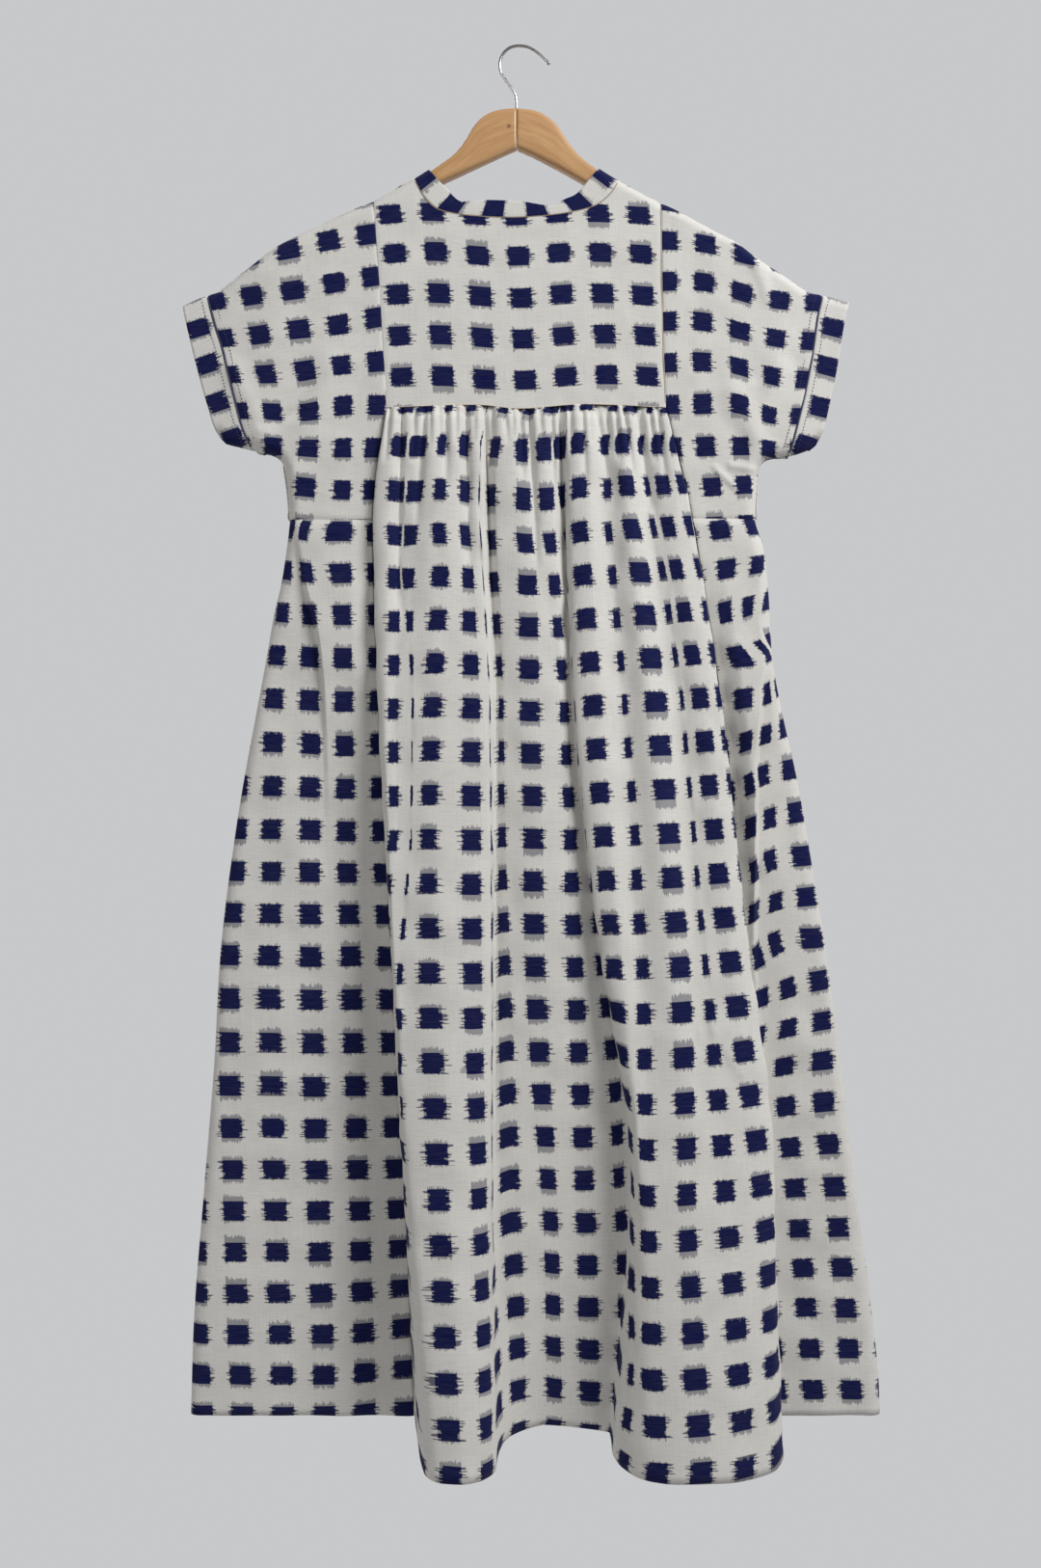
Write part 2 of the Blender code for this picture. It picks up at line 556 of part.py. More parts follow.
def build_sleeve_bands(where, look):
    columns = both_ends(CUFF_COUNT, CUFF_ENDS)
    cuffs = {"left": (LEFT_CUFF_SEAM, LEFT_CUFF_EDGE), "right": (RIGHT_CUFF_SEAM, RIGHT_CUFF_EDGE)}
    for side, (seam, edge) in cuffs.items():
        places = ring(edge, seam, edge, seam, columns, BAND_ROWS)
        grid = pull_in(places, 0, 0, 0, CURVED_SEAM)
        cloth(f"sleeve_band_{side}", grid, where, look, closed=True)


def build_collar(where, look):
    places = ring(BACK_COLLAR, BACK_NECK, FRONT_COLLAR, FRONT_NECK, neck_shares(), BAND_ROWS)
    grid = pull_in(places, 0, 0, 0, NECK_SEAM)
    cloth("collar_band", grid, where, look, closed=True)


def build_gathered_panel(where, look):
    grid = pull_in(gathered(PANEL_ROWS), SEAM, SEAM, CURVED_SEAM, 0)
    cloth("back_skirt", grid, where, look)


def outline_at(outline, z):
    """Across of a side outline at height z, below the sleeve."""
    below = [p for p in outline if p[1] <= SIDE_TOP]
    return through([p[1] for p in below][::-1], [p[0] for p in below][::-1], z)


def side_columns(z, side):
    """Across of a side skirt's grid lines at one height, from the outline to the panel's seam."""
    table = LEFT_FOLD if side == "left" else RIGHT_FOLD
    inward = 1 if side == "left" else -1
    edge = outline_at(LEFT_SIDE if side == "left" else RIGHT_SIDE, z)
    fold = through([row[0] for row in table][::-1], [row[1] for row in table][::-1], z)
    seam = seam_line(z, inward)
    room = (seam - edge) * inward
    fold_at = np.clip((fold - edge) * inward, SIDE_REACH + 2 * FOLD_WIDTH, room - 2.5 * FOLD_WIDTH)
    near_edge = np.array(SIDE_EDGE_COLUMNS)
    round_fold = fold_at + FOLD_WIDTH * np.array(FOLD_COLUMNS)
    between = (near_edge[-1:] + round_fold[:1]) / 2
    near_layer = np.linspace(round_fold[-1], room, NEAR_COLUMNS)[1:]
    return edge + inward * np.concatenate((near_edge, between, round_fold, near_layer))


def build_side_skirt(side, where, look):
    table = LEFT_FOLD if side == "left" else RIGHT_FOLD
    heights = WAIST + np.array(SIDE_SKIRT_ROWS) * (SIDE_HEM - WAIST)
    across = np.array([side_columns(z, side) for z in heights]).T
    places = np.stack([across, np.broadcast_to(heights, across.shape)], axis=-1)
    grid = pull_in(folded_side(places, table), 0, SEAM, SEAM / 2, 0)
    cloth(f"side_skirt_{side}", grid, where, look)


def build_front_skirt(where, look):
    edge = np.array(FRONT_SKIRT_EDGE)
    middle = np.linspace(2 * edge[-1], 1 - 2 * edge[-1], FRONT_SKIRT_COLUMNS)
    columns = np.concatenate((edge, middle, 1 - edge[::-1]))
    heights = np.linspace(WAIST, SIDE_HEM, FRONT_SKIRT_ROWS)
    left, right = outline_at(LEFT_SIDE, heights), outline_at(RIGHT_SIDE, heights)
    across = left + columns[:, None] * (right - left)
    places = np.stack([across, np.broadcast_to(heights, across.shape)], axis=-1)
    cloth("front_skirt", pull_in(front(places), 0, 0, SEAM / 2, 0), where, look)


def build_arm(side, where, look, cutter):
    """One wooden arm: a tube of rounded sections with both ends filled, bored for the hook."""
    table = np.array(LEFT_ARM if side == "left" else RIGHT_ARM, float)
    turn = np.linspace(0, 2 * math.pi, ARM_SIDES + 1)
    round_y = np.sign(np.sin(turn)) * np.abs(np.sin(turn)) ** ARM_ROUNDING
    round_z = np.sign(np.cos(turn)) * np.abs(np.cos(turn)) ** ARM_ROUNDING
    thick = np.full(len(table), WOOD / 2)
    thick[-1] *= TIP_THICKNESS
    places = np.zeros((len(table), len(turn), 3))
    places[:, :, 0] = table[:, :1]
    places[:, :, 1] = thick[:, None] * round_y
    top, foot = table[:, 1:2], table[:, 2:3]
    places[:, :, 2] = (top + foot) / 2 + (top - foot) / 2 * round_z
    mesh = grid_mesh(f"hanger_arm_{side}", places, closed=True)
    bm = bmesh.new()
    bm.from_mesh(mesh)
    bmesh.ops.holes_fill(bm, edges=bm.edges, sides=0)
    bmesh.ops.recalc_face_normals(bm, faces=bm.faces)
    bm.to_mesh(mesh)
    bm.free()
    arm = show(f"hanger_arm_{side}", mesh, where, look)
    bore = arm.modifiers.new("Bore", "BOOLEAN")
    bore.object = cutter
    bore.solver = "EXACT"


def build_bore(where):
    """Cutter for the hook's hole, which is half in each arm."""
    length = BORE_TOP - BORE_FOOT
    bm = bmesh.new()
    bmesh.ops.create_cone(bm, cap_ends=True, segments=12, radius1=HOLE / 2 * MM, radius2=HOLE / 2 * MM,
                          depth=length * MM)
    mesh = bpy.data.meshes.new("bore")
    bm.to_mesh(mesh)
    bm.free()
    cutter = bpy.data.objects.new("bore", mesh)
    cutter.location = (JOINT * MM, 0, (BORE_FOOT + length / 2) * MM)
    cutter.hide_render = True
    cutter.display_type = "WIRE"
    where.objects.link(cutter)
    return cutter


def build_hook(where, look):
    shares = np.concatenate((np.linspace(*HOOK_BOW), np.linspace(*HOOK_SHANK)))
    points = along(HOOK, shares)
    curve = bpy.data.curves.new("hanger_hook", "CURVE")
    curve.dimensions = "3D"
    curve.bevel_depth = WIRE / 2 * MM
    curve.bevel_resolution = 2
    curve.use_fill_caps = True
    spline = curve.splines.new("POLY")
    spline.points.add(len(points) - 1)
    for point, (x, z) in zip(spline.points, points):
        point.co = (x * MM, 0, z * MM, 1)
    curve.materials.append(look)
    where.objects.link(bpy.data.objects.new("hanger_hook", curve))


def main():
    for thing in list(bpy.data.objects):
        bpy.data.objects.remove(thing, do_unlink=True)
    parts = collection("ikat dress on a wooden hanger")
    cutters = collection("cutters")

    cotton = (0.72, 0.70, 0.64)
    build_yoke(parts, material("back yoke cotton", cotton, 0.9))
    build_collar(parts, material("collar cotton", cotton, 0.9))
    build_gathered_panel(parts, material("gathered panel cotton", cotton, 0.9))
    for side in ("left", "right"):
        build_back_side(side, parts, material(f"{side} back cotton", cotton, 0.9))
        build_side_skirt(side, parts, material(f"{side} side skirt cotton", cotton, 0.9))
    build_front_bodice(parts, material("front bodice cotton", cotton, 0.9))
    build_front_skirt(parts, material("front skirt cotton", cotton, 0.9))
    build_sleeve_bands(parts, material("sleeve band cotton", cotton, 0.9))

    bore = build_bore(cutters)
    for side in ("left", "right"):
        build_arm(side, parts, material(f"{side} arm wood", (0.55, 0.36, 0.20), 0.5), bore)
    build_hook(parts, material("hook steel", (0.60, 0.60, 0.58), 0.3, metallic=1.0))


main()
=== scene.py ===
# %% [markdown]
# # An ikat dress on its hanger
#
# The dress hangs with its back to the viewer, on a wooden hanger with a wire hook. Eleven pieces of one
# handloom cotton make it: a flat yoke, a band collar, a wide panel gathered under the yoke, a back piece
# with a grown-on cap sleeve and a skirt panel at each side, a band on each sleeve, and a plain front in two
# pieces.
#
# The solids of the CAD model give every piece its place. They could be given a fabric material as they are,
# but their facets are a finger wide. So each one is made again here as a thin sheet on the same surface,
# fine enough for gathers, creases and the lie of the woven squares.

# %% Load the frame
import math

import bmesh
import bpy
import numpy as np
from mathutils import Matrix


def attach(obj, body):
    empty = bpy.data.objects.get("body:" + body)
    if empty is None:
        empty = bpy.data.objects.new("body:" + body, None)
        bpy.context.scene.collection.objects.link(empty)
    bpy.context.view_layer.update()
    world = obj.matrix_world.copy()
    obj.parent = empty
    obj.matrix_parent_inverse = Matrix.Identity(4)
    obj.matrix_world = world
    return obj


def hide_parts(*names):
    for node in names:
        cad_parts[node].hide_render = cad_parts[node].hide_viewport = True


MM = 0.001
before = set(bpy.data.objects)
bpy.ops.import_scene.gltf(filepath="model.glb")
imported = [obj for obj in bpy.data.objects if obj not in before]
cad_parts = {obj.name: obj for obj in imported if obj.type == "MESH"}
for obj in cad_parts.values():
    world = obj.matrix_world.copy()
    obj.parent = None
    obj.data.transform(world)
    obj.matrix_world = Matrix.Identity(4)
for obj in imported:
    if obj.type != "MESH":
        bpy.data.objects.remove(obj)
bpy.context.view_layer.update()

# %% [markdown]
# ## Where the viewer stands
#
# The photograph doesn't say how far away it was taken. A metre and a half is assumed, level with the middle
# of the dress. The hook is at the origin, so the middle is 680 mm below it. A camera could be aimed with a
# constraint. Here it is simply placed and turned to look along +Y, so nothing has to be worked out each
# frame. The same numbers turn a place in the picture into millimetres, which the tables below use.

# %% Camera
VIEW_DISTANCE = 1500.0
VIEW_HEIGHT = -680.0
VIEW_ACROSS = 1.2
PIXEL = 0.89  # millimetres of the hanger's middle plane to a pixel of the picture
PICTURE_MIDDLE = (540.0, 813.0)
SENSOR_HEIGHT = 36.0
LENS = 37.3


def from_picture(column, line, out):
    """Across and up of a place in the picture, where the cloth stands so far out."""
    near = PIXEL * (1 - out / VIEW_DISTANCE)
    across = (column - PICTURE_MIDDLE[0]) * near + VIEW_ACROSS
    return across, VIEW_HEIGHT - (line - PICTURE_MIDDLE[1]) * near


def lines_from_picture(table):
    """Folds or creases in millimetres, from rows that give both ends as picture places."""
    found = []
    for column1, line1, column2, line2, out, width, height in table:
        ends = (*from_picture(column1, line1, out), *from_picture(column2, line2, out))
        found.append((*(round(place, 1) for place in ends), width, height))
    return tuple(found)


def set_camera():
    lens = bpy.data.cameras.new("view")
    lens.sensor_fit = "VERTICAL"
    lens.sensor_height = SENSOR_HEIGHT
    lens.lens = LENS
    camera = bpy.data.objects.new("view", lens)
    camera.location = (VIEW_ACROSS * MM, -VIEW_DISTANCE * MM, VIEW_HEIGHT * MM)
    camera.rotation_euler = (math.pi / 2, 0, 0)
    bpy.context.scene.collection.objects.link(camera)
    bpy.context.scene.camera = camera


set_camera()
print("camera", VIEW_DISTANCE, "mm from the hanger's middle plane")

# %% [markdown]
# ## Light
#
# White cotton shows its folds only in light that comes more from one side. A single sun would cut hard
# shadows, and an even sky alone would flatten the gathers. So a pale sky fills everything, and one broad
# lamp above and to the right shapes the folds. A weaker one fills from the left, and a third lights the
# hidden front for the other views.

# %% Sky and lamps
PALE_SKY = (0.575, 0.58, 0.595)
DARK_SKY = (0.17, 0.17, 0.175)
CHANGE = (-0.3, 0.55)  # where along Y the sky's change starts and ends
LAMPS = {  # name: place, what it is aimed at, width, power
    "window": ((1.7, -1.5, 1.1), (0, 0, -0.7), 1.2, 62),
    "room": ((-2.2, -2.4, -0.2), (0, 0, -0.8), 2.0, 16),
    "behind": ((-0.8, 2.6, 0.8), (0, 0, -0.7), 2.0, 20),
}


def set_sky(behind, before):
    """A sky that is pale beyond the dress and darker on the viewer's side, with a soft change between."""
    sky = bpy.data.worlds.new("sky")
    sky.use_nodes = True
    tree = sky.node_tree
    way = tree.nodes.new("ShaderNodeTexCoord")
    parts = tree.nodes.new("ShaderNodeSeparateXYZ")
    ramp = tree.nodes.new("ShaderNodeMapRange")
    mix = tree.nodes.new("ShaderNodeMix")
    mix.data_type = "RGBA"
    tree.links.new(way.outputs["Generated"], parts.inputs[0])
    tree.links.new(parts.outputs[1], ramp.inputs["Value"])
    ramp.inputs["From Min"].default_value = CHANGE[0]
    ramp.inputs["From Max"].default_value = CHANGE[1]
    tree.links.new(ramp.outputs[0], mix.inputs[0])
    mix.inputs[6].default_value = (*before, 1)
    mix.inputs[7].default_value = (*behind, 1)
    tree.links.new(mix.outputs[2], tree.nodes["Background"].inputs["Color"])
    bpy.context.scene.world = sky


def add_lamp(name, place, aim, size, power):
    lamp = bpy.data.lights.new(name, "AREA")
    lamp.shape = "DISK"
    lamp.size = size
    lamp.energy = power
    holder = bpy.data.objects.new(name, lamp)
    holder.location = place
    way = [b - a for a, b in zip(place, aim)]
    flat = math.hypot(way[0], way[1])
    holder.rotation_euler = (math.atan2(flat, -way[2]), 0, math.atan2(-way[0], way[1]))
    bpy.context.scene.collection.objects.link(holder)


bpy.context.scene.view_settings.view_transform = "Standard"
set_sky(behind=PALE_SKY, before=DARK_SKY)
for lamp_name, settings in LAMPS.items():
    add_lamp(lamp_name, *settings)
print(len(LAMPS), "lamps and a pale sky")

# %% [markdown]
# ## Floor
#
# The dress hangs well above the floor, so all the floor does is to throw some light up under the hem. A
# disc made by `create_circle` with a filled cap is enough.

# %% Pale floor
FLOOR_AT = -1.95
FLOOR_RADIUS = 0.95


def new_finish(name):
    """A material, its node tree and its shader."""
    finish = bpy.data.materials.new(name)
    finish.use_nodes = True
    return finish, finish.node_tree, finish.node_tree.nodes["Principled BSDF"]


def plain_finish(name, colour, roughness):
    finish, tree, shader = new_finish(name)
    shader.inputs["Base Color"].default_value = (*colour, 1)
    shader.inputs["Roughness"].default_value = roughness
    return finish, tree, shader


def add_floor():
    bm = bmesh.new()
    bmesh.ops.create_circle(bm, cap_ends=True, segments=96, radius=FLOOR_RADIUS)
    bmesh.ops.translate(bm, verts=bm.verts, vec=(0, 0, FLOOR_AT))
    mesh = bpy.data.meshes.new("floor")
    bm.to_mesh(mesh)
    bm.free()
    floor = bpy.data.objects.new("floor", mesh)
    mesh.materials.append(plain_finish("pale_floor", (0.62, 0.62, 0.62), 0.8)[0])
    bpy.context.scene.collection.objects.link(floor)


add_floor()
print("floor", -FLOOR_AT, "m below the hook")

# %% [markdown]
# ## Smooth lines from a few measured places
#
# A pattern cutter draws a seam through a handful of marks. `through` does the same: it runs a smooth curve
# through rising marks and never swings past them, as a plain spline would. `along` then gives places at
# even shares of a seam's length.

# %% Curves
def through(knots, values, at):
    knots, values, at = (np.asarray(v, float) for v in (knots, values, at))
    step = np.diff(knots)
    slope = np.diff(values) / step
    tangent = np.concatenate(([slope[0]], np.zeros(len(slope) - 1), [slope[-1]]))
    same = slope[:-1] * slope[1:] > 0
    both = slope[:-1] + slope[1:]
    tangent[1:-1][same] = 2 * (slope[:-1] * slope[1:])[same] / both[same]
    k = np.clip(np.searchsorted(knots, at) - 1, 0, len(step) - 1)
    t = (at - knots[k]) / step[k]
    start = (1 + 2 * t) * (1 - t) ** 2 * values[k] + t * (1 - t) ** 2 * step[k] * tangent[k]
    return start + t * t * (3 - 2 * t) * values[k + 1] + t * t * (t - 1) * step[k] * tangent[k + 1]


def gone_along(line):
    """Length gone at each place of a line."""
    return np.concatenate(([0], np.cumsum(np.linalg.norm(np.diff(line, axis=0), axis=1))))


def headings(line):
    """Direction of a line at each of its places, one unit long."""
    run = np.gradient(line, axis=0)
    return run / np.linalg.norm(run, axis=1, keepdims=True)


def along(points, shares):
    points = np.asarray(points, float)
    knots = gone_along(points)
    at = np.asarray(shares, float) * knots[-1]
    return np.stack([through(knots, points[:, i], at) for i in range(points.shape[1])], axis=-1)


def shares(count):
    return np.linspace(0, 1, count)


def close_ends(count):
    """Shares that stand closer together at both ends, where cloth rounds over an edge."""
    return 0.5 - 0.5 * np.cos(math.pi * shares(count))


def shares_of(places):
    lengths = gone_along(places)
    return lengths / lengths[-1]


def joined(*stretches):
    return np.concatenate([stretches[0]] + [stretch[1:] for stretch in stretches[1:]])


def distance(places, line):
    """Shortest distance in the dress's plane from places (..., 2) to a line."""
    gone = np.full(places.shape[:-1], 1e9)
    for start, end in zip(line[:-1], line[1:]):
        run = end - start
        from_start = places - start
        t = np.clip((from_start @ run) / (run @ run), 0, 1)
        gone = np.minimum(gone, np.linalg.norm(from_start - t[..., None] * run, axis=-1))
    return gone


def ease(start, end, x):
    t = np.clip((x - start) / (end - start), 0, 1)
    return t * t * (3 - 2 * t)


print("halfway along a test seam:", along(((0, 0), (60, 0), (60, 60)), [0.5])[0])

# %% [markdown]
# ## The pattern's lines
#
# These are the outlines and seams of the dress as it hangs, in millimetres: across is X and up is Z. They
# are the same tables that the CAD model uses, so the sheets and the solids share their edges.

# %% Outlines
RIDGE = ((-310, -239), (-293, -231), (-277, -226), (-253, -207), (-224, -185), (-187, -166.5), (-142, -146.5),
         (-106, -127.5), (-84, -114), (-70, -105), (-40, -74), (0, -56), (38, -74), (62, -104), (75, -113.5),
         (91, -123.5), (108, -133), (130, -145), (152, -155), (181, -171), (199, -180), (217.5, -194),
         (241, -209.5), (267, -226), (281, -229.5), (304, -236))
LEFT_SIDE = ((-278, -358), (-271, -366), (-255, -370), (-242, -374), (-226, -378), (-218, -386), (-215, -397),
             (-213, -417), (-212, -437), (-215.5, -469), (-220, -497), (-226, -522), (-233, -562),
             (-262, -725), (-277, -850), (-281, -928), (-290, -1042), (-301, -1188), (-303, -1260))
RIGHT_SIDE = ((276, -364), (261, -375), (247, -378), (230, -381), (222, -388), (219, -398), (218.5, -410),
              (218, -437), (225, -460), (230, -504), (233, -560), (241, -606), (257, -678), (269, -747),
              (287, -861), (298.5, -951), (311, -1054), (323, -1147), (332, -1233), (333, -1260))
WAIST = -437.0
SIDE_HEM = -1260.0
RIDGE_HEM = -1288.0
UNDERARM = -380.0
YOKE_BOTTOM = -335.0
SEAM_GAP = 0.3
ridge_line, left_line, right_line = (along(line, shares(200)) for line in (RIDGE, LEFT_SIDE, RIGHT_SIDE))
print("shoulder outline", len(RIDGE), "marks, sides", len(LEFT_SIDE), "and", len(RIGHT_SIDE))

# %% Seams
LEFT_CUFF_SEAM = ((-287, -230), (-280, -257), (-273, -279), (-267, -303), (-261.5, -325), (-255, -350),
                  (-246, -372.5))
LEFT_CUFF_EDGE = ((-310, -239), (-305, -262), (-297, -295), (-287, -331), (-278, -358), (-271, -366))
RIGHT_CUFF_SEAM = ((279.5, -229.2), (274, -252), (270, -281), (263, -319), (256.5, -346), (252, -363),
                   (248, -378))
RIGHT_CUFF_EDGE = ((304, -236), (299, -256), (294, -288), (286, -328), (276, -364), (268, -371.5))
BACK_NECK = ((-97, -122), (-93, -132.5), (-85, -145), (-73, -154), (-42, -159.5), (-8, -161), (26, -159),
             (66, -151.5), (82, -141), (90, -129), (91.5, -123.8))
BACK_COLLAR = ((-84, -114), (-80, -120), (-67, -134), (-52, -146.5), (-31, -145), (-1, -146), (26, -150),
               (33, -150.5), (39, -145.5), (51.5, -140), (60, -131), (69, -120), (75, -113.5))
FRONT_NECK = ((-97, -122), (-94, -150), (-82, -186), (-50, -213), (-3, -222), (46, -213), (77, -186),
              (88, -150), (91.5, -123.8))
FRONT_COLLAR = ((-84, -114), (-80, -140), (-69, -172), (-43, -196), (-3, -204), (38, -196), (62, -172),
                (71, -140), (75, -113.5))
LEFT_YOKE = ((-134, -143), (-130.5, -189), (-126, -260), (-122, -335))
RIGHT_YOKE = ((130, -145), (130.5, -190), (131.5, -260), (134.5, -335))
YOKE_FOOT = ((-122, -335), (-40, -332.5), (0, -336), (60, -332), (134.5, -335))
print("yoke", round(YOKE_FOOT[-1][0] - YOKE_FOOT[0][0]), "mm wide at its foot")

# %% [markdown]
# ## The two layers of the upper body
#
# Over the hanger the dress is two nearly flat layers, 12 mm in front of and behind the hanger's middle
# plane and 8 mm at the cuffs, that meet in a rounded edge along the shoulders and sides. One function puts
# any place of the pattern on the back layer and another on the front one. A cloth simulation would have to
# find this shape by itself and would lose the photograph's outline.

# %% Back and front surfaces
BODY_DEPTH = 12.0
CUFF_DEPTH = 8.0
BODY_TO_CUFF = (226.0, 296.0)  # across, where the body's depth ends and the cuff's is reached
RIDGE_ROUND = 10.0
SIDE_ROUND = 12.0
LEAST_OUT = 0.15  # the two layers never touch
FLARE = 6.0
FLARE_WAVE = 3.0
WAVE_LENGTH = 26.0


def rim(gone, reach):
    q = np.clip(gone / reach, 0, 1)
    return np.sqrt(1 - (1 - q) ** 2)


def outlines_rim(places):
    sides = np.minimum(distance(places, left_line), distance(places, right_line))
    return rim(distance(places, ridge_line), RIDGE_ROUND) * rim(sides, SIDE_ROUND)


def depth_at(x):
    return CUFF_DEPTH + (BODY_DEPTH - CUFF_DEPTH) * ease(*BODY_TO_CUFF[::-1], np.abs(x))


BROAD_FOLDS = (  # both ends (across, up), half width, how far it stands out
    (-224, -384, -262, -300, 10, 2.5), (-206, -392, -176, -300, 12, 2.5),
    (226, -388, 196, -320, 11, 2.5), (215, -360, 240, -300, 10, 2.0),
)
PICTURED_FOLDS = (  # both ends (picture column, line), the cloth's distance out, half width, height
    (272, 440, 312, 425, 12, 4, -1.6),
    (742, 486, 763, 505, 12, 3, 1.8),
    (758, 483, 787, 488, 12, 3, 2.0),
    (780, 399, 770, 408, 12, 4, 1.3),
    (786, 275, 797, 310, 12, 6, 1.8),
)
UPPER_FOLDS = BROAD_FOLDS + lines_from_picture(PICTURED_FOLDS)


def standing_out(places, folds):
    lift = np.zeros(places.shape[:-1])
    for x1, z1, x2, z2, width, out in folds:
        gone = distance(places, np.array(((x1, z1), (x2, z2)), float))
        lift += out * np.exp(-((gone / width) ** 2))
    return lift


def back(places):
    x = places[..., 0]
    out = (depth_at(x) + standing_out(places, UPPER_FOLDS)) * outlines_rim(places)
    return np.stack([x, -np.maximum(out, LEAST_OUT), places[..., 1]], axis=-1)


def front(places):
    x, z = places[..., 0], places[..., 1]
    flare = ease(WAIST, SIDE_HEM, z) * (FLARE + FLARE_WAVE * np.cos(x / WAVE_LENGTH))
    out = (depth_at(x) + flare) * outlines_rim(places)
    return np.stack([x, np.maximum(out, LEAST_OUT), z], axis=-1)


print("the back stands", -back(np.array([[0.0, -300.0]]))[0, 1], "mm out at the yoke")
